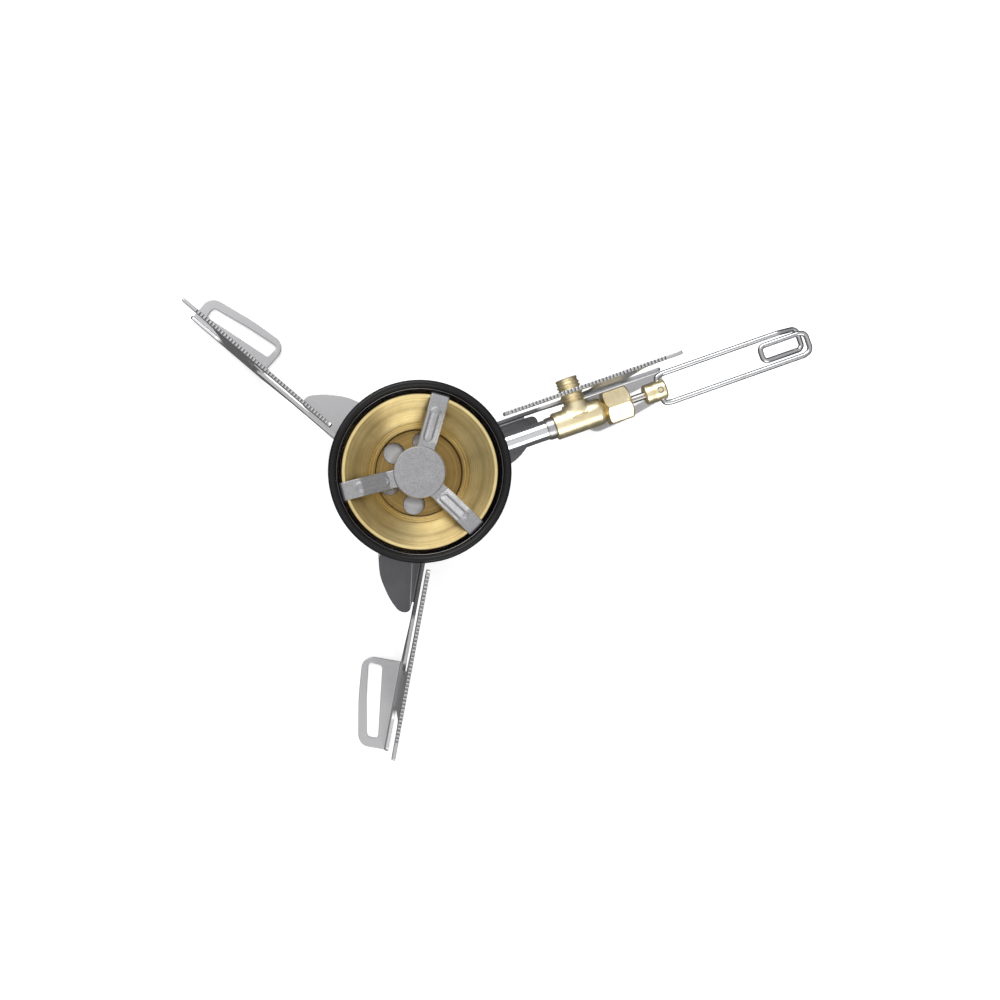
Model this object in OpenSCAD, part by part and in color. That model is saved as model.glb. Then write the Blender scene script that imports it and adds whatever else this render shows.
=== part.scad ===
// Folding multi-fuel stove burner: three toothed sheet-steel legs, a brass burner cup in a
// black-rimmed bell, and a fuel line along +X with a needle valve and a folding wire handle.
// Millimetres, +Z up. Origin: burner axis on the plane the feet stand on.

/* [Heights] */
// Height of the toothed pot-support edges above the feet
pot_z = 66; // [60:0.5:80]
// Height of the top of the black ring
ring_top_z = 56; // [52:0.5:59]
// Height of the fuel line axis
fuel_z = 26; // [24.5:0.5:27]

/* [Burner head] */
// Outer diameter of the black ring
ring_d = 50; // [42:0.5:60]
// Radial width of the black ring
ring_w = 2; // [1.5:0.1:4]
// Height of the black ring
ring_h = 6; // [4:0.5:8]
// Sheet thickness of the bell
bell_wall = 0.5; // [0.4:0.1:1]
// Height of the underside of the bell
bell_z = 36; // [34.5:0.5:38]
// Outer diameter of the flat bottom of the bell
bell_base_d = 30; // [24:1:34]
// Gap between the brass cup's lip and the bell
cup_gap = 1.1; // [0.9:0.1:2]
// Depth of the brass cup's lip below the top of the ring
cup_drop = 2.5; // [1:0.5:5]
// Wall of the brass cup
cup_wall = 1.2; // [0.8:0.1:2]
// Diameter of the round recess in the cup
recess_d = 24; // [16:0.5:26]
// Depth of the bowl down to the recess
bowl_depth = 8; // [6:0.5:9]
// Depth of the recess itself
recess_depth = 2.4; // [1.5:0.1:3]
// Diameter of the air holes in the recess
air_hole_d = 6; // [3:0.1:6]
// Radius on which the air holes sit
air_hole_r = 8.8; // [8.5:0.1:9]
// Outer diameter of the mixing tube
mix_d = 9; // [8:0.1:10]
// Wall of the mixing tube
mix_wall = 0.8; // [0.5:0.1:1.2]

/* [Flame spreader] */
// Diameter of the spreader disc
disc_d = 14.5; // [10:0.5:16]
// Thickness of the spreader disc
disc_h = 1.6; // [1:0.1:2.5]
// Height of the disc above the bottom of the bowl
disc_lift = 3.4; // [2:0.1:5]
// Width of each spreader arm
arm_w = 5.2; // [3:0.1:7]
// Sheet thickness of each spreader arm
arm_t = 0.7; // [0.5:0.1:0.8]
// Direction of the first spreader arm
arm_turn = 55.5; // [0:0.5:119]

/* [Legs] */
// Sheet thickness of the legs
leg_t = 1; // [0.8:0.1:1.5]
// Distance of each leg's web from the burner axis
leg_offset = 6.75; // [6.3:0.05:9]
// Radius of the inner, free end of the toothed beam
beam_r_in = 26; // [25:0.5:34]
// Radius at which the teeth stop
teeth_r = 72.6; // [66:0.2:75]
// Radius of the outer tip of the beam
beam_r_out = 77; // [76:0.5:79]
// Depth of the beam at its inner end
beam_h = 5; // [4:0.5:8]
// Pitch of the teeth
tooth_pitch = 1; // [0.8:0.1:2]
// Depth of the teeth
tooth_h = 0.5; // [0.3:0.1:1]
// Radius at which a foot begins
foot_r_in = 55.5; // [54:0.5:58]
// Radius at which a foot ends
foot_r_out = 82.5; // [81:0.5:90]
// Width of a foot at its inner end
foot_w = 12.75; // [10:0.25:13]
// Width of the metal band round a foot's slot
foot_band = 2.1; // [1.5:0.1:3]
// Radius of the tip of the blade under the bell
blade_r = 40.5; // [34:0.5:44]
// How far the blade reaches past the burner axis
blade_side = 6.6; // [6:0.1:9]
// Height of the lowest leg plate
stack_z = 11.1; // [10.8:0.1:12]
// Gap between neighbouring leg plates
stack_gap = 0.3; // [0.25:0.05:0.5]

/* [Fuel line] */
// Outer diameter of the fuel tube
tube_d = 6; // [4:0.1:6.4]
// Wall of the fuel tube
tube_wall = 0.9; // [0.5:0.1:1.2]
// Outer diameter of the valve body
valve_d = 8; // [7.2:0.1:9]
// Where the valve body begins
valve_x = 42.5; // [41:0.5:44]
// Length of the valve body up to the hexagon nut
valve_len = 15.8; // [15:0.2:17]
// Diameter of the threaded hose stub
stub_d = 6.9; // [6:0.1:7]
// Reach of the hose stub from the fuel line axis
stub_reach = 12.3; // [10:0.1:14]
// Distance from the start of the valve body to the stub's axis
stub_at = 7.9; // [7:0.1:8.5]
// Pitch of the stub's thread
stub_pitch = 1; // [0.75:0.05:1.25]
// Width across the flats of the hexagon nut
nut_af = 9.6; // [9:0.1:10.4]
// Length of the hexagon nut
nut_len = 7.7; // [7:0.1:8.5]

/* [Valve spindle and handle] */
// Diameter of the valve spindle
spindle_d = 2.3; // [2:0.1:2.6]
// Length of spindle that shows between nut and hub
spindle_gap = 4.6; // [3:0.1:6]
// Outer diameter of the handle hub
hub_d = 6.1; // [5.8:0.1:7]
// Length of the handle hub
hub_len = 6.7; // [5.5:0.1:8]
// Diameter of the slotted spring pin
pin_d = 2; // [1.4:0.1:2.2]
// Diameter of the handle wire
wire_d = 1.6; // [1.2:0.1:1.8]
// Length of the handle from its pivot to its end
handle_len = 47.5; // [36:0.5:57]
// Distance of the outer strands from the handle's middle
handle_half_w = 4.4; // [4.2:0.1:4.6]
// Length of the inner loop at the handle's end
loop_len = 14.5; // [10:0.5:20]
// Running clearance of shafts in their bores, on the radius
run_fit = 0.05; // [0.02:0.01:0.1]

/* [Hidden] */
$fn = 96;
eps = 0.01;
// Burner head
ring_in_r = ring_d / 2 - ring_w;
bell_in_r = ring_in_r - bell_wall;
bell_rim_z = ring_top_z - 1.5;
bell_side_z = ring_top_z - ring_h - 1;
lip_r = bell_in_r - cup_gap;
lip_z = ring_top_z - cup_drop;
bowl_z = lip_z - bowl_depth;
recess_z = bowl_z - recess_depth;
cup_boss_d = mix_d + 2.4;
cup_boss_h = 3;
disc_z = bowl_z + disc_lift;
mix_bottom_z = bell_z - 1;
// Base block, jet and bracket
sheet_t = 0.6;
bracket_t = 1;
bracket_w = 8;
bracket_y = 10;
bracket_flange = 4;
block_d = 12;
jet_thread_d = 5;
jet_af = 7;
jet_hex_h = 3;
boss_d = tube_d + 1.2;
block_top_z = fuel_z + boss_d / 2;
screw_head_d = 3.6;
screw_y = bracket_y + bracket_t + screw_head_d / 2 + 0.2;
plate_pitch = leg_t + stack_gap;
rear_z = stack_z;
fixed_z = rear_z + plate_pitch;
front_z = fixed_z + plate_pitch;
stack_top_z = front_z + plate_pitch;
washer_t = 0.6;
priming_z = stack_top_z + washer_t;
block_z = priming_z + sheet_t;
priming_d = 28;
priming_h = 4;
pad_h = 2.6;
bolt_d = 4;
bolt_head_af = 7;
bolt_head_h = 2.4;
bolt_washer_t = 0.7;
bolt_washer_z = stack_z - stack_gap - bolt_washer_t;
bush_d = 6.4;
// Legs
eye_r = 5.9;
web_in = leg_offset - leg_t / 2;
web_out = leg_offset + leg_t / 2;
web_r_in = priming_d / 2 + 2;
dip_r = blade_r + 1.5;
arm_top_z = 20.5;
arm_low_z = 5;
post_r = foot_r_in + 0.6;
post_out_r = post_r + 11;
foot_rim = 4;
tip_h = 3.2;
bore_fit = 2 * run_fit;
// Fuel line stations along +X
tube_bore_d = tube_d - 2 * tube_wall;
tube_in_x = 3;
tube_seat = 3;
collar_len = 2.4;
collar_d = tube_d + 0.6;
nut_x = valve_x + valve_len;
neck_d = 6;
neck_len = 4;
seal_len = 1.6;
seal_d = 5;
hub_x = nut_x + nut_len + spindle_gap;
pivot_x = hub_x + 5;
pin_x = pivot_x - 0.3;
stub_x = valve_x + stub_at;
stub_bore_d = 3;
chamber_d = 3.6;
seat_x = valve_x + 5;
seat_d = 1.4;
thread_d = chamber_d - bore_fit;
thread_x = seat_x + 5.5;
thread_len = 4;
oring_x = thread_x + thread_len + 0.6;
oring_len = 0.9;
spindle_end = hub_len - 1;
wire_r = wire_d / 2;
wire_seat = 1.5;

// Points of an arc about c with radius r, from angle a0 to a1 in n steps
function arc(c, r, a0, a1, n = 10) =
    [for (i = [0:n]) let (a = a0 + (a1 - a0) * i / n) [c[0] + r * cos(a), c[1] + r * sin(a)]];

// A cylinder along +X that starts at x, on the fuel line axis
module bar_x(x, len, d) {
    translate([x, 0, fuel_z]) rotate([0, 90, 0]) cylinder(h = len, d = d);
}

// A flat ring with its underside at z
module ring(z, h, d_out, d_in) {
    translate([0, 0, z]) difference() {
        cylinder(h = h, d = d_out);
        translate([0, 0, -1]) cylinder(h = h + 2, d = d_in);
    }
}

// Unit vector along v
function unit(v) = v / norm(v);

// A round bar of radius r carried along the points of path, mitred at each bend
module swept_bar(path, r, sides = 12) {
    n = len(path);
    tangent = [for (i = [0:n - 1])
        i == 0 ? unit(path[1] - path[0]) : i == n - 1 ? unit(path[n - 1] - path[n - 2])
        : unit(unit(path[i] - path[i - 1]) + unit(path[i + 1] - path[i]))];
    stretch = [for (i = [0:n - 1]) i == 0 ? 1 : 1 / (tangent[i] * unit(path[i] - path[i - 1]))];
    rings = [for (i = [0:n - 1]) let (s = unit(cross(tangent[i], [0, 0, 1])), u = cross(s, tangent[i]))
        for (k = [0:sides - 1]) let (a = 360 * k / sides)
            path[i] + r * (s * cos(a) * stretch[i] + u * sin(a))];
    walls = [for (i = [0:n - 2], k = [0:sides - 1]) let (j = (k + 1) % sides)
        [i * sides + k, i * sides + j, (i + 1) * sides + j, (i + 1) * sides + k]];
    polyhedron(rings, concat([[for (k = [sides - 1:-1:0]) k]], walls,
        [[for (k = [0:sides - 1]) (n - 1) * sides + k]]));
}

module flame_ring() {
    edge = ring_w / 2;
    color("#26262a") rotate_extrude() polygon(concat(
        [[ring_in_r, ring_top_z - ring_h], [ring_d / 2, ring_top_z - ring_h]],
        arc([ring_d / 2 - edge, ring_top_z - edge], edge, 0, 180, 12)));
}

// Inner side profile of the bell from the rim down to the flat bottom, grown outwards by g
function bell_side(g) = concat(
    [[bell_in_r + g, bell_rim_z], [bell_in_r + g, bell_side_z]],
    [for (i = [1:12]) let (a = 90 * i / 12)
        [bell_base_d / 2 + (bell_in_r + g - bell_base_d / 2) * cos(a),
         bell_side_z - (bell_side_z - bell_z - bell_wall + g) * sin(a)]]);

module burner_bell() {
    outer = bell_side(bell_wall);
    inner = bell_side(0);
    n = len(inner) - 1;
    color("#3a3b3e") difference() {
        rotate_extrude() polygon(concat(outer, [[0, bell_z], [0, bell_z + bell_wall]],
            [for (i = [n:-1:0]) inner[i]]));
        translate([0, 0, bell_z - 1]) cylinder(h = 4, d = mix_d);
        bell_screw_holes();
    }
}

// Clearance holes for the two screws that hold bell and bracket together
module bell_screw_holes() {
    for (s = [-1, 1]) translate([0, s * screw_y, bell_z - 3])
        cylinder(h = 6, d = 2.1, $fn = 32);
}

// The bowl's wall is an almost straight cone from the lip to the recess
module burner_cup() {
    steps = 14;
    wave = [for (i = [0:steps]) let (t = i / steps)
        [recess_d / 2 + (lip_r - 0.8 - recess_d / 2) * t, bowl_z + bowl_depth * pow(t, 1.15)]];
    under = [for (i = [steps:-1:0]) [wave[i][0] + 0.3, wave[i][1] - cup_wall]];
    color("#ccb371") difference() {
        rotate_extrude() polygon(concat(
            [[0, recess_z], [recess_d / 2 - 0.6, recess_z], [recess_d / 2, recess_z + 0.6]], wave,
            [[lip_r, lip_z], [lip_r, lip_z - cup_wall]], under,
            [[recess_d / 2 + 0.3, recess_z - cup_wall], [cup_boss_d / 2, recess_z - cup_wall],
             [cup_boss_d / 2, recess_z - cup_wall - cup_boss_h],
             [0, recess_z - cup_wall - cup_boss_h]]));
        translate([0, 0, recess_z - cup_wall - cup_boss_h - 1])
            cylinder(h = cup_boss_h + 1, d = mix_d);
        translate([0, 0, recess_z - cup_wall - 1]) cylinder(h = 8, d = mix_d - 2 * mix_wall);
        for (a = [62:60:242]) rotate(a) translate([air_hole_r, 0, recess_z - cup_wall - 4])
            cylinder(h = 8, d = air_hole_d);
    }
}

module flame_spreader() {
    arm_in = disc_d / 2 - 1.5;
    rise_r = disc_d / 2 + 1.6;
    low_z = disc_z + disc_h - arm_t - 0.3;
    high_z = lip_z + 0.1;
    end_r = lip_r + arm_t + 0.1;
    chamfer = 0.6;
    color("#a4a5a6") union() {
        rotate_extrude() polygon([[0, disc_z], [disc_d / 2 - chamfer, disc_z],
            [disc_d / 2, disc_z + chamfer], [disc_d / 2, disc_z + disc_h - chamfer],
            [disc_d / 2 - chamfer, disc_z + disc_h], [0, disc_z + disc_h]]);
        for (i = [0:2]) rotate(arm_turn + 120 * i) translate([0, arm_w / 2, 0]) rotate([90, 0, 0])
            linear_extrude(arm_w) polygon([[arm_in, low_z], [rise_r, low_z], [lip_r - 4, high_z],
                [lip_r + 0.1, high_z], [lip_r + 0.1, lip_z - 2], [end_r, lip_z - 2],
                [end_r, high_z + arm_t], [lip_r - 4.1, high_z + arm_t],
                [rise_r - 0.2, low_z + arm_t], [arm_in, low_z + arm_t]]);
    }
}

module mixing_tube() {
    flange_d = mix_d + 3;
    color("#b9bbbd") difference() {
        union() {
            translate([0, 0, mix_bottom_z]) cylinder(h = recess_z - cup_wall - mix_bottom_z, d = mix_d);
            translate([0, 0, mix_bottom_z]) cylinder(h = bell_z - mix_bottom_z, d = flange_d);
        }
        translate([0, 0, mix_bottom_z - 1]) cylinder(h = 20, d = mix_d - 2 * mix_wall);
    }
}

module bell_bracket() {
    flange_y = bracket_y + bracket_t + bracket_flange;
    color("#9a9b9d") difference() {
        union() {
            translate([-bracket_w / 2, -bracket_y - bracket_t, block_top_z])
                cube([bracket_w, 2 * (bracket_y + bracket_t), bracket_t]);
            for (s = [0, 1]) mirror([0, s, 0]) {
                translate([-bracket_w / 2, bracket_y, block_top_z])
                    cube([bracket_w, bracket_t, bell_z - block_top_z]);
                translate([-bracket_w / 2, bracket_y, bell_z - bracket_t])
                    cube([bracket_w, flange_y - bracket_y, bracket_t]);
            }
        }
        translate([0, 0, block_top_z - 1]) cylinder(h = 3, d = jet_thread_d);
        bell_screw_holes();
    }
}

module bell_screws() {
    color("#c6c7c9") for (s = [-1, 1])
        translate([0, s * screw_y, 0]) {
            translate([0, 0, bell_z - bracket_t - 1.2]) cylinder(h = 1.2, d = screw_head_d, $fn = 32);
            translate([0, 0, bell_z - bracket_t - eps])
                cylinder(h = bracket_t + bell_wall + 1, d = 2, $fn = 32);
        }
}

module jet() {
    hex_z = block_top_z + bracket_t;
    color("#cdb46c") difference() {
        union() {
            translate([0, 0, block_top_z - 2.4]) cylinder(h = 2.4 + bracket_t + eps, d = jet_thread_d);
            translate([0, 0, hex_z]) cylinder(h = jet_hex_h, d = jet_af / cos(30), $fn = 6);
            translate([0, 0, hex_z + jet_hex_h - eps]) cylinder(h = 0.8, d1 = 4, d2 = 2);
        }
        translate([0, 0, block_top_z - 3]) cylinder(h = jet_hex_h + 3, d = 2.4);
        translate([0, 0, block_top_z]) cylinder(h = 8, d = 0.5, $fn = 24);
    }
}

module jet_block() {
    color("#c2a765") difference() {
        union() {
            translate([0, 0, block_z]) cylinder(h = block_top_z - block_z, d = block_d);
            translate([0, 0, priming_z]) cylinder(h = sheet_t + eps, d = block_d - 3);
            bar_x(0, block_d / 2 + 2, boss_d);
        }
        translate([0, 0, priming_z - 1]) cylinder(h = 6, d = bolt_d);
        translate([0, 0, block_top_z - 2.4]) cylinder(h = 4, d = jet_thread_d);
        translate([0, 0, fuel_z - 0.5]) cylinder(h = 3, d = 2.4);
        bar_x(0, tube_in_x + 1, tube_bore_d);
        bar_x(tube_in_x, block_d, tube_d);
    }
}

module priming_cup() {
    color("#8f9092") difference() {
        translate([0, 0, priming_z]) cylinder(h = priming_h, d = priming_d);
        translate([0, 0, priming_z + sheet_t]) cylinder(h = priming_h, d = priming_d - 2 * sheet_t);
        translate([0, 0, priming_z - 1]) cylinder(h = 3, d = block_d - 3);
    }
}

module priming_pad() {
    color("#d8d2c4") ring(block_z, pad_h, priming_d - 2 * sheet_t - 0.4, block_d + 0.4);
}

module fuel_tube() {
    color("#b8babd") difference() {
        bar_x(tube_in_x, valve_x + tube_seat - tube_in_x, tube_d);
        bar_x(tube_in_x - 1, valve_x + tube_seat - tube_in_x + 2, tube_bore_d);
    }
}

module tube_collar() {
    color("#8c8d90") difference() {
        bar_x(valve_x - collar_len, collar_len, collar_d);
        bar_x(valve_x - collar_len - 1, collar_len + 2, tube_d);
    }
}

module valve_body() {
    dome = 1.6;
    color("#d9c27e") difference() {
        union() {
            translate([valve_x, 0, fuel_z]) rotate([0, 90, 0]) rotate_extrude() polygon(concat(
                [[0, 0], [valve_d / 2 - 0.4, 0], [valve_d / 2, 0.4]],
                arc([valve_d / 2 - dome, valve_len - dome], dome, 0, 60, 6),
                [[neck_d / 2, valve_len], [neck_d / 2, valve_len + neck_len],
                 [0, valve_len + neck_len]]));
            translate([stub_x, 0, fuel_z]) rotate([-90, 0, 0])
                cylinder(h = valve_d / 2 + 0.8, d = stub_d + 0.8);
        }
        bar_x(valve_x - 1, tube_seat + 1, tube_d);
        bar_x(valve_x, seat_x - valve_x + 1, seat_d);
        bar_x(seat_x, thread_x + thread_len + 3.2 - seat_x, chamber_d);
        bar_x(seat_x, valve_len + neck_len, spindle_d + bore_fit);
        translate([stub_x, 2.2, fuel_z]) rotate([-90, 0, 0]) cylinder(h = 9, d = stub_d - 1.4);
        translate([stub_x, 0, fuel_z]) rotate([-90, 0, 0]) cylinder(h = 9, d = stub_bore_d);
    }
}

module hose_stub() {
    shoulder_y = valve_d / 2 + 0.8;
    turns = floor((stub_reach - shoulder_y - 1.4) / stub_pitch);
    crest = stub_d / 2;
    root = crest - 0.55;
    start_y = shoulder_y + 0.4;
    thread = [[root, 0], [crest, 0.3], [crest, 0.55], [root, 0.85]];
    color("#cbb673") translate([stub_x, 0, fuel_z]) rotate([-90, 0, 0]) difference() {
        rotate_extrude() polygon(concat(
            [[0, 2.2], [stub_d / 2 - 0.7, 2.2], [stub_d / 2 - 0.7, shoulder_y], [root, shoulder_y]],
            [for (i = [0:turns - 1], p = thread) [p[0], start_y + (i + p[1]) * stub_pitch]],
            [[root, stub_reach - 0.9], [crest - 0.2, stub_reach - 0.9], [crest - 0.5, stub_reach],
             [0, stub_reach]]));
        translate([0, 0, 1]) cylinder(h = stub_reach, d = stub_bore_d);
    }
}

module inlet_filter() {
    color("#a58d5c") translate([stub_x, 0, fuel_z]) rotate([-90, 0, 0])
        translate([0, 0, 4]) cylinder(h = 5, d = stub_bore_d);
}

module packing_nut() {
    cham = 0.8;
    color("#dcc582") difference() {
        intersection() {
            translate([nut_x, 0, fuel_z]) rotate([0, 90, 0])
                cylinder(h = nut_len, d = nut_af / cos(30), $fn = 6);
            translate([nut_x, 0, fuel_z]) rotate([0, 90, 0]) rotate_extrude()
                polygon([[0, 0], [nut_af / 2, 0], [nut_af / 2 + cham, cham],
                    [nut_af / 2 + cham, nut_len - cham], [nut_af / 2, nut_len], [0, nut_len]]);
        }
        bar_x(nut_x - 1, neck_len + 1, neck_d);
        bar_x(nut_x, neck_len + washer_t + seal_len, seal_d);
        bar_x(nut_x, nut_len + 1, spindle_d + bore_fit);
    }
}

module seal_washer() {
    color("#c9b06a") difference() {
        bar_x(nut_x + neck_len, washer_t, seal_d);
        bar_x(nut_x, nut_len, spindle_d + bore_fit);
    }
}

module packing_seal() {
    color("#3c3c3e") difference() {
        bar_x(nut_x + neck_len + washer_t, seal_len, seal_d);
        bar_x(nut_x, nut_len, spindle_d + bore_fit);
    }
}

module spindle_oring() {
    color("#2b2b2b") difference() {
        bar_x(oring_x, oring_len, chamber_d - bore_fit);
        bar_x(oring_x - 1, oring_len + 2, spindle_d + bore_fit);
    }
}

module valve_spindle() {
    needle = 3.4;
    color("#8f8e8c") difference() {
        union() {
            translate([seat_x - 0.4, 0, fuel_z]) rotate([0, 90, 0])
                cylinder(h = needle, d1 = 0.6, d2 = spindle_d);
            bar_x(seat_x - 0.4 + needle - eps, hub_x + spindle_end - seat_x + 0.4 - needle, spindle_d);
            bar_x(thread_x, thread_len, thread_d);
        }
        translate([pin_x, 0, fuel_z - hub_d]) cylinder(h = 2 * hub_d, d = pin_d);
    }
}

module handle_hub() {
    cham = 0.8;
    color("#dcc27c") difference() {
        translate([hub_x, 0, fuel_z]) rotate([0, 90, 0]) rotate_extrude() polygon([[0, 0],
            [hub_d / 2 - cham, 0], [hub_d / 2, cham], [hub_d / 2, hub_len - cham],
            [hub_d / 2 - cham, hub_len], [0, hub_len]]);
        bar_x(hub_x - 1, spindle_end + 1, spindle_d);
        translate([pin_x, 0, fuel_z - hub_d]) cylinder(h = 2 * hub_d, d = pin_d);
        for (s = [-1, 1]) translate([pivot_x, s * wire_seat, fuel_z]) rotate([-s * 90, 0, 0])
            cylinder(h = hub_d, d = wire_d + bore_fit);
    }
}

module spring_pin() {
    color("#9b9c9e") difference() {
        translate([pin_x, 0, fuel_z - hub_d / 2 - 0.1]) cylinder(h = hub_d + 0.2, d = pin_d);
        translate([pin_x, 0, fuel_z - hub_d]) cylinder(h = 2 * hub_d, d = pin_d - 0.8, $fn = 48);
        translate([pin_x - pin_d, -0.15, fuel_z - hub_d]) cube([pin_d, 0.3, 2 * hub_d]);
    }
}

// The wire runs out along one side, dips under its own end, makes the inner loop and comes back
module wire_handle() {
    x_end = pivot_x + handle_len - wire_r;
    x_inner = x_end - wire_d - 0.1;
    x_loop = x_end - loop_len;
    y_in = 2.3;
    y_seat = wire_seat + 0.2;
    dip = wire_d + 0.15;
    path = [[pivot_x, y_seat, 0], [pivot_x, handle_half_w - 0.6, 0],
        [pivot_x + 1.9, handle_half_w, 0], [x_end - 7, handle_half_w, 0],
        [x_inner - 0.9, handle_half_w - 0.4, -dip], [x_inner, handle_half_w - 1.2, -dip],
        [x_inner, 0.8 - y_in, -dip], [x_inner - 0.8, -y_in, -dip], [x_loop + 2.5, -y_in, -0.3],
        [x_loop + 0.8, -y_in, 0], [x_loop, 0.8 - y_in, 0], [x_loop, y_in - 0.8, 0],
        [x_loop + 0.8, y_in, 0], [x_inner, y_in, 0], [x_end - 0.6, y_in - 0.3, 0],
        [x_end, y_in - 1.2, 0], [x_end, 1.9 - handle_half_w, 0],
        [x_end - 1.2, 0.6 - handle_half_w, 0], [x_end - 3, -handle_half_w, 0],
        [pivot_x + 1.9, -handle_half_w, 0], [pivot_x, 0.6 - handle_half_w, 0],
        [pivot_x, -y_seat, 0]];
    color("#c4c5c7") translate([0, 0, fuel_z]) swept_bar(path, wire_r);
}

// Side view of a leg's web, post and toothed beam: radius along x, height along y
function web_outline(plate_z) = concat(
    [[web_r_in, plate_z], [dip_r, plate_z], [foot_r_in - 6, arm_low_z], [foot_r_in, 0],
     [foot_r_out, 0], [foot_r_out, foot_rim]],
    arc([post_out_r + 8, foot_rim + 9], 8, 250, 180, 5),
    arc([post_out_r + 5, pot_z - tip_h - 5], 5, 180, 90, 5),
    [[beam_r_out, pot_z - tip_h], [beam_r_out, pot_z]],
    [for (i = [0:floor((teeth_r - beam_r_in) / tooth_pitch) - 1], k = [0:3])
        [teeth_r - (i + (k == 0 ? 0 : k == 3 ? 1 : 0.5)) * tooth_pitch,
         pot_z - (k < 2 ? 0 : tooth_h)]],
    [[beam_r_in, pot_z - tooth_h], [beam_r_in, pot_z - beam_h + 1.5],
     [beam_r_in + 1.5, pot_z - beam_h], [post_r - 12, pot_z - beam_h - 1]],
    arc([post_r - 12, pot_z - beam_h - 13], 12, 90, 0, 8),
    [[post_r, arm_top_z + 3]], arc([post_r - 3, arm_top_z + 3], 3, 0, -90, 5),
    [[web_r_in + 8, arm_top_z], [web_r_in, plate_z + leg_t]]);

// Plan of a leg's hub plate: an eye round the pivot and a blade along the web
module plate_outline() {
    tip = 4.2;
    circle(r = eye_r);
    polygon(concat([[-1, eye_r - 0.1], [web_r_in, web_out]],
        arc([blade_r - tip, web_out - tip], tip, 90, -35, 8),
        [[24, -blade_side], [15, -blade_side - 0.5], [6, -eye_r], [-1, 0.1 - eye_r]]));
}

// Plan of a foot: a tapered loop beside the web
module foot_outline() {
    edge_y = web_out - foot_w;
    corner = 3.5;
    taper = 3.3;
    near = foot_r_in + foot_band;
    far = foot_r_out - foot_band - 0.9;
    slot_y = web_in - foot_band - 0.5;
    difference() {
        polygon(concat([[foot_r_out, web_out], [foot_r_in, web_out]],
            arc([foot_r_in + corner, edge_y + corner], corner, 180, 262, 6),
            arc([foot_r_out - corner, edge_y + taper + corner], corner, 278, 360, 6)));
        polygon([[far, slot_y], [near, slot_y - taper + 0.6], [near, edge_y + foot_band],
            [far, edge_y + foot_band + taper]]);
    }
}

module leg(plate_z, eye_d) {
    difference() {
        union() {
            translate([0, web_out, 0]) rotate([90, 0, 0]) linear_extrude(leg_t)
                polygon(web_outline(plate_z));
            translate([0, 0, plate_z]) linear_extrude(leg_t) plate_outline();
            linear_extrude(leg_t) foot_outline();
        }
        translate([0, 0, plate_z - 1]) cylinder(h = leg_t + 2, d = eye_d);
    }
}

module leg_fixed() {
    color("#9b9c9e") leg(fixed_z, bolt_d);
}

module leg_rear() {
    color("#a9aaac") rotate(120) leg(rear_z, bush_d + bore_fit);
}

module leg_front() {
    color("#8d8e90") rotate(240) leg(front_z, bush_d + bore_fit);
}

module pivot_bolt() {
    color("#c6c7c9") union() {
        translate([0, 0, bolt_washer_z - bolt_head_h])
            cylinder(h = bolt_head_h, d = bolt_head_af / cos(30), $fn = 6);
        translate([0, 0, bolt_washer_z - eps])
            cylinder(h = priming_z + 5 - bolt_washer_z + eps, d = bolt_d);
    }
}

module bolt_washer() {
    color("#b4b5b7") ring(bolt_washer_z, bolt_washer_t, bush_d + 4, bolt_d);
}

module lower_bush() {
    color("#cdb46c") ring(bolt_washer_z + bolt_washer_t, fixed_z - bolt_washer_z - bolt_washer_t,
        bush_d, bolt_d);
}

module upper_bush() {
    color("#cdb46c") ring(fixed_z + leg_t, stack_top_z - fixed_z - leg_t, bush_d, bolt_d);
}

module stack_washer() {
    color("#b4b5b7") ring(stack_top_z, washer_t, bush_d + 4, bolt_d);
}

flame_ring();
burner_bell();
burner_cup();
flame_spreader();
mixing_tube();
bell_bracket();
bell_screws();
jet();
jet_block();
priming_cup();
priming_pad();
fuel_tube();
tube_collar();
valve_body();
hose_stub();
inlet_filter();
packing_nut();
packing_seal();
seal_washer();
spindle_oring();
valve_spindle();
handle_hub();
spring_pin();
wire_handle();
leg_fixed();
leg_front();
leg_rear();
pivot_bolt();
lower_bush();
upper_bush();
bolt_washer();
stack_washer();
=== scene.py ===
import math

import bmesh
import bpy
import numpy as np
from bpy.props import FloatProperty, FloatVectorProperty, PointerProperty
from mathutils import Matrix, Vector


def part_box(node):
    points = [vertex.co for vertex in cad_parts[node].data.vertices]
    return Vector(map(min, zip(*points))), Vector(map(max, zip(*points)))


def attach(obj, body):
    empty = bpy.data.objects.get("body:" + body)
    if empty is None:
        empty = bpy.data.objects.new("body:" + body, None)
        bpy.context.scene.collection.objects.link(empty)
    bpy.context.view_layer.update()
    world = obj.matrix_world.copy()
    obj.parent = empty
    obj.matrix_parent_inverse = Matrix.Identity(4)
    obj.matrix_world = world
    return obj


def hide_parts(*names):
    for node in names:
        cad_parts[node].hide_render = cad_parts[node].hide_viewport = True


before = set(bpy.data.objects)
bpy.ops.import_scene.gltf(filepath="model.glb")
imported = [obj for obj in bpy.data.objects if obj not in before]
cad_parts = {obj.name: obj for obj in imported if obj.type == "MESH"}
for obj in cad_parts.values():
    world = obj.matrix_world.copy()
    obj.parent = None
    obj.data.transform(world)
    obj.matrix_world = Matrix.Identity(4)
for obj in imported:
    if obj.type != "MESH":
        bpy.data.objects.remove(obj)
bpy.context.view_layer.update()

bl_info = {
    "name": "Folding stove burner",
    "version": (1, 0, 0),
    "blender": (4, 5, 0),
    "location": "3D View > Sidebar > Burner",
    "description": "Builds the visible pieces, finishes and stage of a folding stove burner",
    "category": "Add Mesh",
}

MM = 0.001
MERGED, COLLAPSED, TINY = 2e-6, 1e-7, 1e-6
TURN = 2 * math.pi
THIRD = TURN / 3
SHARP = math.radians(32)
FUEL_AXIS = (0.0, 0.0, 0.026)


# ---------------------------------------------------------------- sizes and colours

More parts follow.
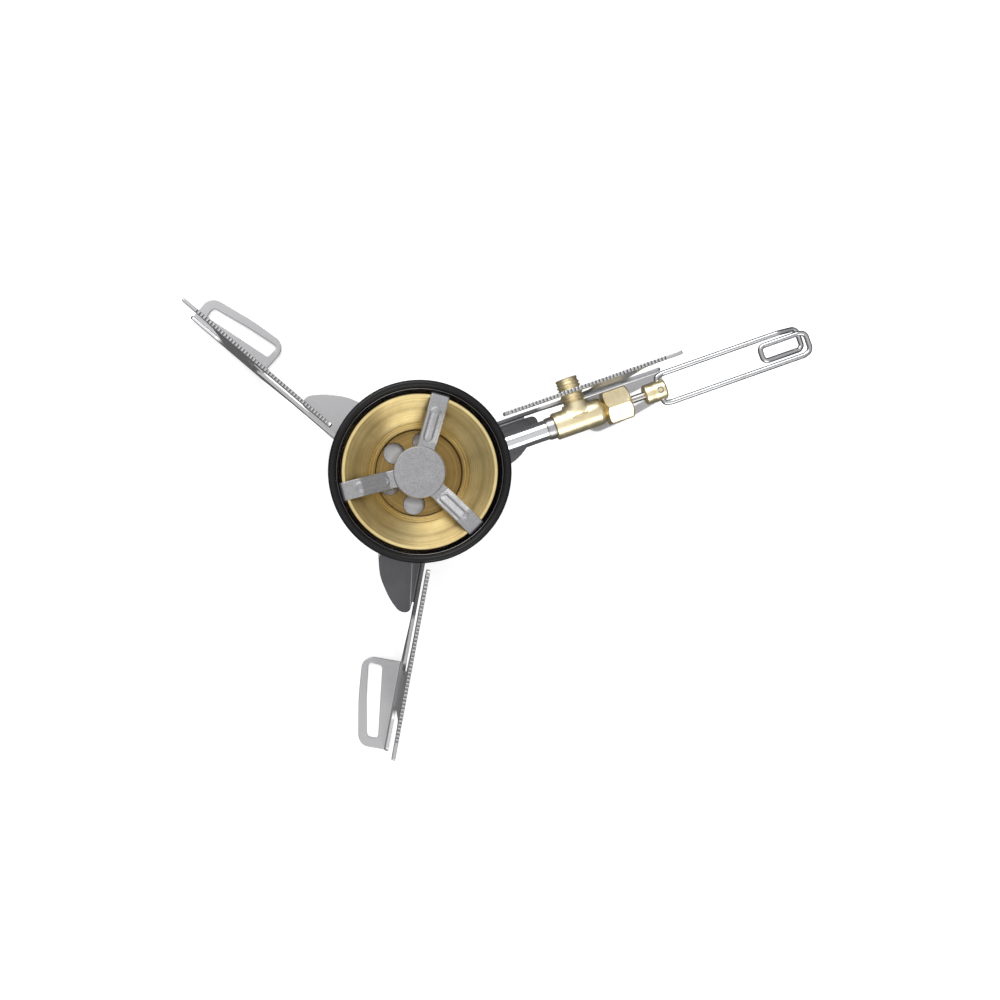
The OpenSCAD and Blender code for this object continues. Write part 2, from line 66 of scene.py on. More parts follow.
class BurnerSizes(bpy.types.PropertyGroup):
    """Sizes of the details that the pieces carry, over the sizes that the frame gives"""
    edge_round: FloatProperty(
        name="Edge rounding", description="Rounding along the edges of the stamped legs",
        default=0.16 * MM, min=0.02 * MM, max=0.3 * MM, subtype="DISTANCE", unit="LENGTH")
    bend_radius: FloatProperty(
        name="Bend radius", description="Outer radius where a leg's sheet turns a corner",
        default=1.5 * MM, min=1.05 * MM, max=3 * MM, subtype="DISTANCE", unit="LENGTH")
    bead_height: FloatProperty(
        name="Bead height", description="Height of the raised oval bead on each spreader arm",
        default=0.2 * MM, min=0.0, max=0.6 * MM, subtype="DISTANCE", unit="LENGTH")
    groove_depth: FloatProperty(
        name="Groove depth", description="Depth of the turned grooves in the brass bowl",
        default=0.15 * MM, min=0.0, max=0.4 * MM, subtype="DISTANCE", unit="LENGTH")
    thread_depth: FloatProperty(
        name="Thread depth", description="Depth of the thread on the hose stub",
        default=0.34 * MM, min=0.1 * MM, max=0.7 * MM, subtype="DISTANCE", unit="LENGTH")


def colour(name, description, default):
    """A colour property with its default as linear red, green, blue and alpha."""
    return FloatVectorProperty(name=name, description=description, default=default + (1.0,),
                               size=4, min=0.0, max=1.0, subtype="COLOR")


class BurnerColours(bpy.types.PropertyGroup):
    """Base colours of the finishes"""
    enamel: colour("Black enamel", "Satin coat of the ring", (0.009, 0.009, 0.010))
    bell: colour("Bell steel", "Drawn sheet of the bell", (0.60, 0.60, 0.61))
    brass: colour("Turned brass", "Cup, jet, block and bushes", (0.93, 0.76, 0.38))
    bright_brass: colour("Bright brass", "Valve body, nut, stub and hub", (0.94, 0.83, 0.55))
    spreader: colour("Spreader steel", "Tumbled steel of disc and arms", (0.39, 0.39, 0.40))
    leg: colour("Leg steel", "Satin sheet of the legs", (0.55, 0.55, 0.56))
    polished: colour("Polished steel", "Tube and wire handle", (0.74, 0.75, 0.77))
    zinc: colour("Zinc steel", "Fasteners and bracket", (0.58, 0.59, 0.61))
    spindle: colour("Spindle steel", "Ground valve spindle", (0.42, 0.41, 0.39))
    felt: colour("Felt", "Priming pad", (0.66, 0.62, 0.53))
    rubber: colour("Rubber", "O-ring", (0.020, 0.020, 0.021))
    graphite: colour("Graphite", "Packing seal", (0.055, 0.055, 0.06))


# ---------------------------------------------------------------- surfaces

def faces_of(rows, columns, first, wrap_rows, wrap_columns):
    """Quads of a grid of points, numbered from first, as an array with four columns."""
    r = np.arange(rows if wrap_rows else rows - 1)
    c = np.arange(columns if wrap_columns else columns - 1)
    r, c = np.meshgrid(r, c, indexing="ij")
    r, c = r.ravel(), c.ravel()
    r2, c2 = (r + 1) % rows, (c + 1) % columns
    return first + np.stack([r * columns + c, r * columns + c2, r2 * columns + c2,
                             r2 * columns + c], axis=1)


class Shell:
    """Grids of points gathered into one mesh; sizes are in millimetres."""

    def __init__(self):
        self.points, self.faces, self.count = [], [], 0

    def grid(self, points, wrap_rows=False, wrap_columns=False):
        """Adds a surface given by its points, an array of rows, columns and xyz."""
        rows, columns = points.shape[:2]
        self.faces += faces_of(rows, columns, self.count, wrap_rows, wrap_columns).tolist()
        self.points.append(points.reshape(-1, 3))
        self.count += rows * columns
        return self

    def cap(self, loop):
        """Adds one flat face inside a closed loop of points."""
        self.faces.append(list(range(self.count, self.count + len(loop))))
        self.points.append(np.asarray(loop))
        self.count += len(loop)
        return self


def finish_piece(name, shell, body, replaced, material, flat_faces=False):
    """Puts a shell into a mesh, merges doubles, turns its faces outwards and ties it to a body."""
    mesh = bpy.data.meshes.new(name)
    mesh.from_pydata((np.concatenate(shell.points) * MM).tolist(), [], shell.faces)
    work = bmesh.new()
    work.from_mesh(mesh)
    bmesh.ops.remove_doubles(work, verts=work.verts, dist=MERGED)
    bmesh.ops.dissolve_degenerate(work, edges=work.edges, dist=COLLAPSED)
    bmesh.ops.recalc_face_normals(work, faces=work.faces)
    work.to_mesh(mesh)
    work.free()
    mesh.polygons.foreach_set("use_smooth", np.ones(len(mesh.polygons), dtype=bool))
    mesh.set_sharp_from_angle(angle=SHARP)
    mesh.materials.append(material)
    piece = bpy.data.objects.new(name, mesh)
    bpy.context.scene.collection.objects.link(piece)
    if flat_faces:
        weighted = piece.modifiers.new("Flat faces", "WEIGHTED_NORMAL")
        weighted.keep_sharp = True
        weighted.weight = 100
    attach(piece, body)
    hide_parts(*replaced)
    return piece


def turned(profile, angles=None, steps=144):
    """A profile of radius and height turned about Z: x = r cos a, y = r sin a, z = height."""
    if angles is None:
        angles = np.arange(steps) * TURN / steps
    profile = np.asarray(profile, dtype=float)
    r, z = profile[:, :1], profile[:, 1:]
    return np.stack([r * np.cos(angles), r * np.sin(angles), z + 0 * angles], axis=2)


def closed_turn(section, steps):
    """A shell turned about Z from a closed section of (radius, height)."""
    return Shell().grid(turned(section, steps=steps), wrap_rows=True, wrap_columns=True)


def along_fuel_line(grid):
    """A shape made round Z laid along the fuel line: height becomes +X, radius y and z."""
    return np.stack([grid[..., 2], grid[..., 0], grid[..., 1] + FUEL_AXIS[2] / MM], axis=-1)


def rounded(points, radius, steps=6):
    """A path with each inner corner replaced by an arc tangent to both of its sides.

    The arc starts radius / tan(half the corner's angle) from the corner, and is cut short
    where a side is too short for it. Works in two or three dimensions.
    """
    points = np.asarray(points, dtype=float)
    radii = np.broadcast_to(radius, len(points))
    out = [points[:1]]
    for before, here, after, r in zip(points, points[1:], points[2:], radii[1:]):
        a, b = before - here, after - here
        la, lb = np.linalg.norm(a), np.linalg.norm(b)
        a, b = a / la, b / lb
        half = math.acos(float(np.clip(a @ b, -1, 1))) / 2
        if r <= 0 or half > math.pi / 2 - 1e-3:
            out.append(here[None])
            continue
        cut = min(r / math.tan(half), 0.49 * la, 0.49 * lb)
        r = cut * math.tan(half)
        middle = (a + b) / np.linalg.norm(a + b)
        centre = here + middle * r / math.sin(half)
        start, end = here + a * cut - centre, here + b * cut - centre
        sweep = math.pi - 2 * half
        t = np.linspace(0, 1, steps + 1)[:, None]
        out.append(centre + (np.sin((1 - t) * sweep) * start + np.sin(t * sweep) * end)
                   / math.sin(sweep))
    out.append(points[-1:])
    return np.concatenate(out)


def cornered(rows, steps=6):
    """A rounded path whose rows hold a corner's place and then its radius."""
    rows = np.array(rows, dtype=float)
    return rounded(rows[:, :-1], rows[:, -1], steps)


def evenly(path, count):
    """Points at equal distances along a path of straight pieces."""
    path = np.asarray(path, dtype=float)
    length = np.concatenate([[0], np.cumsum(np.linalg.norm(np.diff(path, axis=0), axis=1))])
    at = np.linspace(0, length[-1], count)
    return np.stack([np.interp(at, length, line) for line in path.T], axis=1)


def tangents(path):
    """Unit vectors along a path, one at each of its points."""
    ahead = np.gradient(path, axis=0)
    return ahead / np.linalg.norm(ahead, axis=1, keepdims=True)


def round_bar(path, radius, sides=20):
    """A round bar along a path: centre + radius (cos a side + sin a up), frames carried along.

    Each side vector is the last one with its part along the new tangent taken away, and the
    first and last rings are closed by rings that shrink to a point.
    """
    tangent = tangents(path)
    side = np.cross(tangent[0], (0.0, 0.0, 1.0))
    carried = []
    for t in tangent:
        side = side - (side @ t) * t
        side = side / np.linalg.norm(side)
        carried.append(side)
    across = np.array(carried)
    up = np.cross(across, tangent)
    a = np.arange(sides) * TURN / sides
    ring = np.cos(a)[None, :, None] * across[:, None] + np.sin(a)[None, :, None] * up[:, None]
    first, last = [np.repeat(end[None, None], sides, axis=1) for end in (path[0], path[-1])]
    return np.concatenate([first, path[:, None] + radius * ring, last])


def outward(loop):
    """Unit vectors that point out of a counterclockwise flat loop, one at each of its points."""
    ahead = np.roll(loop, -1, axis=0) - loop
    ahead /= np.maximum(np.linalg.norm(ahead, axis=1, keepdims=True), 1e-9)
    out = np.stack([ahead[:, 1], -ahead[:, 0]], axis=1)
    mean = out + np.roll(out, 1, axis=0)
    scale = np.maximum((mean * mean).sum(axis=1, keepdims=True) / 2, 0.5)
    return mean / scale


def edge_rows(thickness, rounding, steps=3):
    """Inset and height of the rows that carry a sheet's edge from its lower to its upper face."""
    a = np.linspace(-math.pi / 2, 0, steps + 1)
    inset = rounding * (1 - np.cos(a))
    height = rounding * (1 + np.sin(a))
    return np.concatenate([np.stack([inset, height], axis=1),
                           np.stack([inset, thickness - height], axis=1)[::-1]])
def flat_sheet(shell, loop, free, thickness, rounding, place):
    """A flat sheet inside a loop: its edge is the loop set in along edge_rows, closed by caps.

    place turns loop coordinates and a height into points in space, and free is 0 where the
    edge meets a bend and stays square.
    """
    out = outward(loop) * free[:, None]
    rows = edge_rows(thickness, rounding)
    wall = np.stack([place(loop - out * inset, height) for inset, height in rows])
    shell.grid(wall, wrap_columns=True).cap(wall[0]).cap(wall[-1])


def ring_sheet(shell, outer, inner, free, thickness, rounding, place):
    """A flat sheet between two matched loops, as one grid that closes both ways.

    Its rows run up the outer edge, across the upper face, down the inner edge and back.
    """
    rows = edge_rows(thickness, rounding)
    out, into = outward(outer) * free[:, None], outward(inner)
    grid = [place(outer - out * inset, height) for inset, height in rows]
    grid += [place(inner + into * inset, height) for inset, height in rows[::-1]]
    shell.grid(np.stack(grid), wrap_rows=True, wrap_columns=True)


# ---------------------------------------------------------------- finishes

VECTOR, FLOAT, COLOUR = "NodeSocketVector", "NodeSocketFloat", "NodeSocketColor"
WHITE = (1.0, 1.0, 1.0, 1.0)
NOISE_SPAN = 0.3, 0.7
PATCH_SPAN = 0.42, 0.68
WEAR_SPAN = 0.08
BAND_SCALE, CLOUD_SCALE = 0.18, 0.025
# The painted shade fades out between its radius and this share of it.
SHADE_EDGE = 1.04


def put(tree, node, values):
    """Gives a node's inputs their values: a socket is linked, anything else is set."""
    for key, value in values.items():
        if isinstance(value, bpy.types.NodeSocket):
            tree.links.new(value, node.inputs[key])
        else:
            node.inputs[key].default_value = value
    return node


def add(tree, kind, values=None, **properties):
    """A new node with its properties and its inputs' values."""
    made = tree.nodes.new(kind)
    for key, value in properties.items():
        setattr(made, key, value)
    return put(tree, made, values or {})


def group(name, inputs, outputs):
    """An empty shader group with named sockets; returns its tree, input node and output node."""
    tree = bpy.data.node_groups.new(name, "ShaderNodeTree")
    for in_out, sockets in (("INPUT", inputs), ("OUTPUT", outputs)):
        for label, kind, default in sockets:
            socket = tree.interface.new_socket(label, in_out=in_out, socket_type=kind)
            if default is not None:
                socket.default_value = default
    return tree, tree.nodes.new("NodeGroupInput"), tree.nodes.new("NodeGroupOutput")


def remap(tree, value, low, high, to_low, to_high):
    """A value carried from one range to another and held inside it."""
    return add(tree, "ShaderNodeMapRange", {
        "Value": value, "From Min": low, "From Max": high,
        "To Min": to_low, "To Max": to_high}).outputs["Result"]


def times(tree, a, b):
    """The product of two values."""
    return add(tree, "ShaderNodeMath", {0: a, 1: b}, operation="MULTIPLY").outputs["Value"]


def mixed(tree, share, under, over):
    """Two colours mixed by a share; a Mix node takes them at 6 and 7 and gives its own at 2."""
    return add(tree, "ShaderNodeMix", {"Factor": share, 6: under, 7: over},
               data_type="RGBA").outputs[2]


def noise(tree, place, scale, detail, roughness=0.5):
    """Noise about a half, read at a place."""
    return add(tree, "ShaderNodeTexNoise", {
        "Vector": place, "Scale": scale, "Detail": detail,
        "Roughness": roughness}).outputs["Fac"]


def round_axis(tree, place):
    """Distance of a place from the Z axis, and its height."""
    apart = add(tree, "ShaderNodeSeparateXYZ", {"Vector": place}).outputs
    flat = add(tree, "ShaderNodeCombineXYZ", {"X": apart["X"], "Y": apart["Y"]})
    radius = add(tree, "ShaderNodeVectorMath", {0: flat.outputs["Vector"]}, operation="LENGTH")
    return radius.outputs["Value"], apart["Z"]


def turned_lines_group():
    """Fine rings left by a lathe: noise read at (distance from Z, height), so it circles Z."""
    tree, into, out = group(
        "Turned lines", [("Vector", VECTOR, None), ("Fineness", FLOAT, 3000.0)],
        [("Lines", FLOAT, None), ("Bands", FLOAT, None)])
    radius, height = round_axis(tree, into.outputs["Vector"])
    at = add(tree, "ShaderNodeCombineXYZ", {"X": radius, "Z": height}).outputs["Vector"]
    fineness = into.outputs["Fineness"]
    put(tree, out, {"Lines": noise(tree, at, fineness, 2.0, 0.7),
                    "Bands": noise(tree, at, times(tree, fineness, BAND_SCALE), 2.0)})
    return tree


def sheet_grain_group():
    """Grain of rolled and tumbled sheet: fine speckle, and soft clouds forty times as wide."""
    tree, into, out = group(
        "Sheet grain", [("Vector", VECTOR, None), ("Fineness", FLOAT, 6000.0)],
        [("Speckle", FLOAT, None), ("Clouds", FLOAT, None)])
    at, fineness = into.outputs["Vector"], into.outputs["Fineness"]
    put(tree, out, {"Speckle": noise(tree, at, fineness, 3.0, 0.65),
                    "Clouds": noise(tree, at, times(tree, fineness, CLOUD_SCALE), 4.0, 0.6)})
    return tree


def tarnish_group():
    """Patches of an aged colour over a clean one, where clouds rise above a level."""
    tree, into, out = group(
        "Tarnish", [("Clouds", FLOAT, 0.5), ("Clean", COLOUR, None), ("Aged", COLOUR, None),
                    ("Amount", FLOAT, 0.3)],
        [("Colour", COLOUR, None), ("Mask", FLOAT, None)])
    given = into.outputs
    mask = times(tree, remap(tree, given["Clouds"], *PATCH_SPAN, 0.0, 1.0), given["Amount"])
    put(tree, out, {"Colour": mixed(tree, mask, given["Clean"], given["Aged"]), "Mask": mask})
    return tree


def edge_wear_group():
    """Where a mesh is pointed, its finish is worn: pointiness above a level, times a strength."""
    tree, into, out = group(
        "Edge wear", [("Colour", COLOUR, None), ("Worn", COLOUR, None),
                      ("Strength", FLOAT, 0.5), ("Level", FLOAT, 0.55)],
        [("Colour", COLOUR, None), ("Mask", FLOAT, None)])
    given = into.outputs
    point = add(tree, "ShaderNodeNewGeometry").outputs["Pointiness"]
    full = add(tree, "ShaderNodeMath", {0: given["Level"], 1: WEAR_SPAN}, operation="ADD")
    bare = remap(tree, point, given["Level"], full.outputs["Value"], 0.0, 1.0)
    mask = times(tree, bare, given["Strength"])
    put(tree, out, {"Colour": mixed(tree, mask, given["Colour"], given["Worn"]), "Mask": mask})
    return tree


GROUP_MAKERS = {"Turned lines": turned_lines_group, "Sheet grain": sheet_grain_group,
                "Tarnish": tarnish_group, "Edge wear": edge_wear_group}


def use_group(tree, name, values):
    """Outputs of a shared effect, whose group is made when it is first used."""
    inner = bpy.data.node_groups.get(name) or GROUP_MAKERS[name]()
    return add(tree, "ShaderNodeGroup", values, node_tree=inner).outputs


def darker(rgba, factor, warm=(1.0, 1.0, 1.0)):
    """A colour times a factor and a tint, with its alpha kept."""
    return tuple(rgba[k] * factor * warm[k] for k in range(3)) + (1.0,)


def finish(name, base, aged, roughness, bump, fineness, metallic=1.0, lathe=None, tarnish=0.3,
           worn=None, wear=0.0, stretch=0.0, stretch_turn=0.0, coat=0.0, coat_roughness=0.2,
           spread=0.08, tint=0.12, specular=0.5, painted_shade=None):
    """A finish for one kind of surface.

    lathe is None for sheet grain, "Z" for rings round the burner axis or "X" for rings round
    the fuel line. roughness changes by spread and the colour by tint with the pattern, and
    bump is the height in metres of the pattern's relief. The last argument is painted shade:
    the radius within which the colour is darkened, the share of red, green and blue that is
    kept there, and the heights at which this darkening is full and gone, all in metres.
    """
    material = bpy.data.materials.new(name)
    material.use_nodes = True
    tree = material.node_tree
    base = tuple(base)
    place = add(tree, "ShaderNodeTexCoord").outputs["Object"]
    if lathe == "X":
        place = add(tree, "ShaderNodeMapping", {
            "Vector": place, "Location": FUEL_AXIS, "Rotation": (0.0, math.pi / 2, 0.0)},
            vector_type="TEXTURE").outputs["Vector"]
    grain = use_group(tree, "Sheet grain", {"Vector": place, "Fineness": fineness})
    pattern, bands = grain["Speckle"], grain["Clouds"]
    if lathe:
        lines = use_group(tree, "Turned lines", {"Vector": place, "Fineness": fineness})
        pattern, bands = lines["Lines"], lines["Bands"]
    patched = use_group(tree, "Tarnish", {
        "Clouds": grain["Clouds"], "Clean": base, "Aged": aged, "Amount": tarnish})
    shade = remap(tree, pattern, *NOISE_SPAN, 1.0 - tint, 1.0 + tint)
    toned = add(tree, "ShaderNodeVectorMath", {0: patched["Colour"], "Scale": shade},
                operation="SCALE").outputs["Vector"]
    # Painted shade: the colour is darkened inside a radius about Z and over a band of heights.
    if painted_shade:
        radius, kept, full, gone = painted_shade
        reach, height = round_axis(tree, place)
        near = remap(tree, reach, radius, radius * SHADE_EDGE, 1.0, 0.0)
        level = remap(tree, height, full, gone, 1.0, 0.0)
        share = mixed(tree, times(tree, near, level), WHITE, kept + (1.0,))
        toned = add(tree, "ShaderNodeVectorMath", {0: toned, 1: share},
                    operation="MULTIPLY").outputs["Vector"]
    rubbed = use_group(tree, "Edge wear", {
        "Colour": toned, "Worn": worn or base, "Strength": wear})
    relief = add(tree, "ShaderNodeBump", {"Height": pattern, "Distance": bump, "Strength": 1.0})
    put(tree, tree.nodes["Principled BSDF"], {
        "Base Color": rubbed["Colour"],
        "Roughness": remap(tree, bands, *NOISE_SPAN, roughness - spread, roughness + spread),
        "Normal": relief.outputs["Normal"], "Metallic": metallic, "Anisotropic": stretch,
        "Anisotropic Rotation": stretch_turn, "Coat Weight": coat,
        "Coat Roughness": coat_roughness, "Specular IOR Level": specular})
    return material


BARE_BRASS, BARE_BRIGHT = (0.95, 0.83, 0.55, 1.0), (1.0, 0.9, 0.66, 1.0)
BARE_STEEL, BARE_POLISH = (0.9, 0.9, 0.9, 1.0), (0.95, 0.95, 0.95, 1.0)
BARE_BRAZE, BARE_ENAMEL = (0.8, 0.75, 0.6, 1.0), (0.10, 0.10, 0.105, 1.0)
BROWN, STRAW, CREAM, WARM = (0.9, 0.72, 0.5), (1.0, 0.97, 0.88), (1.0, 0.93, 0.82), (1.0, 0.9, 0.8)
# Painted shade on the bell's rolled rim where it sits in the gap between ring and cup: radius,
# share of colour kept, heights where it is full and gone.
BELL_RIM_PAINTED_SHADE = 0.03, (0.16, 0.16, 0.17), 0.0535, 0.05
# Painted shade over the bowl's recess floor, inside the recess radius at every height.
RECESS_PAINTED_SHADE = 0.01205, (0.40, 0.33, 0.24), 0.1, 0.11
# Painted shade over the legs' plates, blades and arms under the burner, below a height and inside
# a radius.
LEG_PAINTED_SHADE = 0.0405, (0.26, 0.26, 0.27), 0.03, 0.033


def make_finishes(tones):
    """Every finish of the burner, by the name that the pieces ask for."""
    # Two copies of the leg steel: plain, and one with painted shade under the burner.
    legs = {
        key: finish(name, tones.leg, darker(tones.leg, 0.8), 0.36, 2.2e-6, 5200.0,
                    tarnish=0.35, worn=BARE_STEEL, wear=0.5, spread=0.07, tint=0.07, painted_shade=painted_shade)
        for key, name, painted_shade in (("leg", "Satin leg steel", None),
                                ("leg with painted shade", "Leg steel with painted shade", LEG_PAINTED_SHADE))}
    return legs | {
        "enamel": finish(
            "Black enamel", tones.enamel, darker(tones.enamel, 1.6), 0.36, 2e-6, 5200.0,
            metallic=0.0, worn=BARE_ENAMEL, wear=0.05, spread=0.06, tint=0.25, coat=0.03,
            coat_roughness=0.35, specular=0.2),
        # The bell's rim carries painted shade.
        "bell": finish(
            "Bell steel", tones.bell, darker(tones.bell, 0.6, WARM), 0.27, 1.0e-6, 3500.0,
            lathe="Z", tarnish=0.45, painted_shade=BELL_RIM_PAINTED_SHADE),
        # The bowl's recess carries painted shade.
        "bowl": finish(
            "Turned brass bowl", tones.brass, darker(tones.brass, 0.56, BROWN), 0.36, 1.6e-6,
            2600.0, lathe="Z", tarnish=0.5, worn=BARE_BRASS, wear=0.2, stretch=0.6,
            stretch_turn=0.25, tint=0.22, painted_shade=RECESS_PAINTED_SHADE),
        "brass": finish(
            "Turned brass", tones.brass, darker(tones.brass, 0.55, BROWN), 0.3, 1.2e-6,
            3600.0, lathe="Z", tarnish=0.45, worn=BARE_BRASS, wear=0.4),
        "valve": finish(
            "Bright turned brass", tones.bright_brass, darker(tones.bright_brass, 0.72, BROWN),
            0.36, 0.8e-6, 3800.0, lathe="X", worn=BARE_BRIGHT, wear=0.3, spread=0.06,
            tint=0.06),
        "thread": finish(
            "Threaded brass", tones.bright_brass, darker(tones.bright_brass, 0.5, BROWN), 0.38,
            0.8e-6, 5200.0, tarnish=0.6, worn=BARE_BRIGHT, wear=0.3),
        "spreader": finish(
            "Tumbled steel", tones.spreader, darker(tones.spreader, 0.62), 0.5, 1.6e-5,
            2600.0, tarnish=0.5, tint=0.22),
        "braze": finish(
            "Brazed collar", darker(tones.zinc, 0.8), darker(tones.brass, 0.5, BROWN), 0.34,
            2e-6, 3000.0, tarnish=0.9, worn=BARE_BRAZE, wear=0.3, tint=0.14),
        "polished": finish(
            "Polished steel", tones.polished, darker(tones.polished, 0.8), 0.14, 0.3e-6,
            4000.0, lathe="X", tarnish=0.25, worn=BARE_POLISH, wear=0.2, spread=0.03,
            tint=0.03),
        "wire": finish(
            "Polished wire", darker(tones.polished, 0.72), darker(tones.polished, 0.5), 0.17,
            0.5e-6, 4500.0, spread=0.05, tint=0.04),
        "zinc": finish(
            "Zinc-plated steel", tones.zinc, darker(tones.zinc, 0.8, STRAW), 0.3, 1.5e-6,
            4200.0, tarnish=0.5, worn=BARE_STEEL, wear=0.4),
        "spindle": finish(
            "Ground spindle steel", tones.spindle, darker(tones.spindle, 0.7), 0.33, 1.2e-6,
            5200.0, lathe="X", tarnish=0.4, wear=0.2, spread=0.07, tint=0.1),
        "felt": finish(
            "Priming felt", tones.felt, darker(tones.felt, 0.55, CREAM), 0.95, 1.6e-4, 2600.0,
            metallic=0.0, tarnish=0.6, spread=0.04, tint=0.3, specular=0.15),
        "rubber": finish(
            "Seal rubber", tones.rubber, darker(tones.rubber, 2.0), 0.55, 3e-6, 3500.0,
            metallic=0.0, tint=0.2, specular=0.35),
        "graphite": finish(
            "Graphite packing", tones.graphite, darker(tones.graphite, 0.6), 0.4, 4e-6,
            3000.0, metallic=0.2, tarnish=0.4, tint=0.25),
    }


FINISHES = {}


# ---------------------------------------------------------------- burner head

CLEAR = 0.02
RING_WIDTH, RING_CHAMFER = 2.0, 0.4
BELL_WALL, BELL_FLAT, BELL_SIDE = 0.5, 15.0, 13.0
MIX_RADIUS = 4.5
LIP_RADIUS, LIP_FLAT, LIP_EDGE = 21.4, 0.9, 0.15
RECESS_RADIUS, RECESS_DEPTH, FLOOR_RADIUS = 12.0, 2.4, 11.87
CUP_WALL, CONE_DEPTH, CONE_STEP, CONE_POWER = 1.2, 8.0, 0.1, 1.1
CONE_START, CONE_END = 12.3, 20.5
HOLE_RADIUS, HOLE_AT, HOLE_EDGE = 2.92, 8.8, 0.15
HOLE_ANGLES = np.radians([62.0, 122.0, 182.0, 242.0])
HALF_SECTOR = math.radians(30.0)
BORE_RADIUS, BOSS_RADIUS, BOSS_DEPTH = 3.7, 5.7, 3.0
# Corners of the two grooves: the radius, and the depth as a share of the whole depth.
GROOVES = [(12.84, 0.0), (12.9, 1.0), (13.06, 1.0), (13.12, 0.0),
           (13.6, 0.0), (13.65, 0.6), (13.75, 0.6), (13.8, 0.0)]
DISC_RADIUS, DISC_LOW, DISC_HEIGHT, DISC_EDGE = 7.25, 48.9, 1.6, 0.4
ARM_WIDTH, ARM_SHEET, ARM_DROP, ARM_ROUND = 5.2, 0.7, 2.3, 0.14
ARM_TURNS = np.radians([55.5, 175.5, 295.5])
BEAD_AT, BEAD_HALF, BEAD_RADIUS, BEAD_SPREAD = 7.6, 3.7, 1.15, 0.3


def box_mm(node):
    """Lowest and highest corner of a CAD node, in millimetres."""
    low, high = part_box(node)
    return np.array(low) / MM, np.array(high) / MM


def ring_shape():
    """The ring turned from its section: straight sides, small lower corners, half-round top."""
    low, high = box_mm("flame_ring")
    outer, top, bottom = high[0], high[2], low[2]
    inner, half = outer - RING_WIDTH, RING_WIDTH / 2
    section = [(inner, bottom + RING_CHAMFER), (inner + RING_CHAMFER, bottom),
               (outer - RING_CHAMFER, bottom), (outer, bottom + RING_CHAMFER)]
    a = np.linspace(0, math.pi, 15)
    crown = np.stack([outer - half + half * np.cos(a), top - half + half * np.sin(a)], axis=1)
    return closed_turn(np.vstack([section, crown]), 192)


def bell_shape():
    """The bell turned from its sheet's middle line, thickened by the wall, with a rolled rim."""
    low, high = box_mm("burner_bell")
    outer, rim, bottom = high[0], high[2], low[2]
    half, side = BELL_WALL / 2, bottom + BELL_SIDE
    a = np.linspace(math.pi / 2, 0, 16)[1:]
    flank = np.stack([BELL_FLAT + (outer - half - BELL_FLAT) * np.cos(a),
                      side - (side - bottom - half) * np.sin(a)], axis=1)
    line = np.vstack([[(MIX_RADIUS + CLEAR, bottom + half), (BELL_FLAT, bottom + half)], flank,
                      [(outer - half, rim - half)]])
    ahead = tangents(line)
    out = np.stack([ahead[:, 1], -ahead[:, 0]], axis=1) * half
    b = np.linspace(0, math.pi, 7)[1:-1]
    rolled = line[-1] + half * np.stack([np.cos(b), np.sin(b)], axis=1)
    return closed_turn(np.vstack([line + out, rolled, (line - out)[::-1]]), 192)


def round_hole(radius, height):
    """The floor round one air hole: straight lines from the hole's edge to the sector's edge.

    A line leaves the hole's centre at each angle and stops at the nearest of the floor's
    outer circle, its inner circle and the two straight sides of the sector.
    """
    a = np.arange(96) * TURN / 96
    ray = np.stack([np.cos(a), np.sin(a)], axis=1)
    start = np.array([HOLE_AT, 0.0])
    b = ray @ start
    with np.errstate(divide="ignore", invalid="ignore"):
        far = -b + np.sqrt(np.maximum(b * b - HOLE_AT ** 2 + FLOOR_RADIUS ** 2, 0))
        meets = b * b - HOLE_AT ** 2 + BORE_RADIUS ** 2
        near = np.where((meets > 0) & (b < 0), -b - np.sqrt(np.maximum(meets, 0)), np.inf)
        sides = []
        for s in (-1, 1):
            normal = np.array([-s * math.sin(HALF_SECTOR), math.cos(HALF_SECTOR)])
            t = -(start @ normal) / (ray @ normal)
            sides.append(np.where(t > TINY, t, np.inf))
    reach = np.minimum.reduce([far, near] + sides)
    grid = np.stack([start + ray * (radius + (reach - radius) * t)[:, None]
                     for t in (0.0, 0.12, 1.0)])
    return np.concatenate([grid, np.full(grid.shape[:2] + (1,), height)], axis=2)


def turn_about_z(grid, angle):
    """A shape turned about Z."""
    c, s = math.cos(angle), math.sin(angle)
    x, y = grid[..., 0], grid[..., 1]
    return np.stack([x * c - y * s, x * s + y * c, grid[..., 2]], axis=-1)


def bowl_heights():
    """Heights of the cup's lip and of its recess floor."""
    lip = box_mm("burner_cup")[1][2]
    return lip, lip - CONE_DEPTH - RECESS_DEPTH


def bowl_section(sizes):
    """The bowl's wall from the recess floor outwards: recess wall, grooves, shallow cone, lip.

    The cone climbs as the share of its way out, raised to CONE_POWER, less the grooves' cuts.
    """
    lip, floor = bowl_heights()
    shelf, below = lip - CONE_DEPTH, floor - CUP_WALL
    smooth = np.concatenate([np.linspace(CONE_START, 12.7, 4), [13.36],
                             np.linspace(14.0, CONE_END, 24)])
    marks = np.vstack([np.column_stack([smooth, 0 * smooth]), GROOVES])
    r, cut = marks[np.argsort(marks[:, 0])].T
    share = (r - CONE_START) / (LIP_RADIUS - LIP_FLAT - CONE_START)
    climb = CONE_STEP + (CONE_DEPTH - CONE_STEP) * share ** CONE_POWER
    cone = np.stack([r, shelf + climb - sizes.groove_depth / MM * cut], axis=1)
    recess = [(FLOOR_RADIUS, floor), (RECESS_RADIUS, floor + 0.2),
              (RECESS_RADIUS, shelf - 0.25), (RECESS_RADIUS + 0.15, shelf)]
    rim = [(LIP_RADIUS - LIP_FLAT + 0.12, lip), (LIP_RADIUS - LIP_EDGE, lip),
           (LIP_RADIUS, lip - LIP_EDGE), (LIP_RADIUS, lip - CUP_WALL + 0.1),
           (LIP_RADIUS - 0.1, lip - CUP_WALL)]
    under = cone[::-1][3:-12] + np.array([0.45, -CUP_WALL])
    return np.vstack([recess, cone, rim, under, [(12.4, below + 1.0), (FLOOR_RADIUS, below)]])


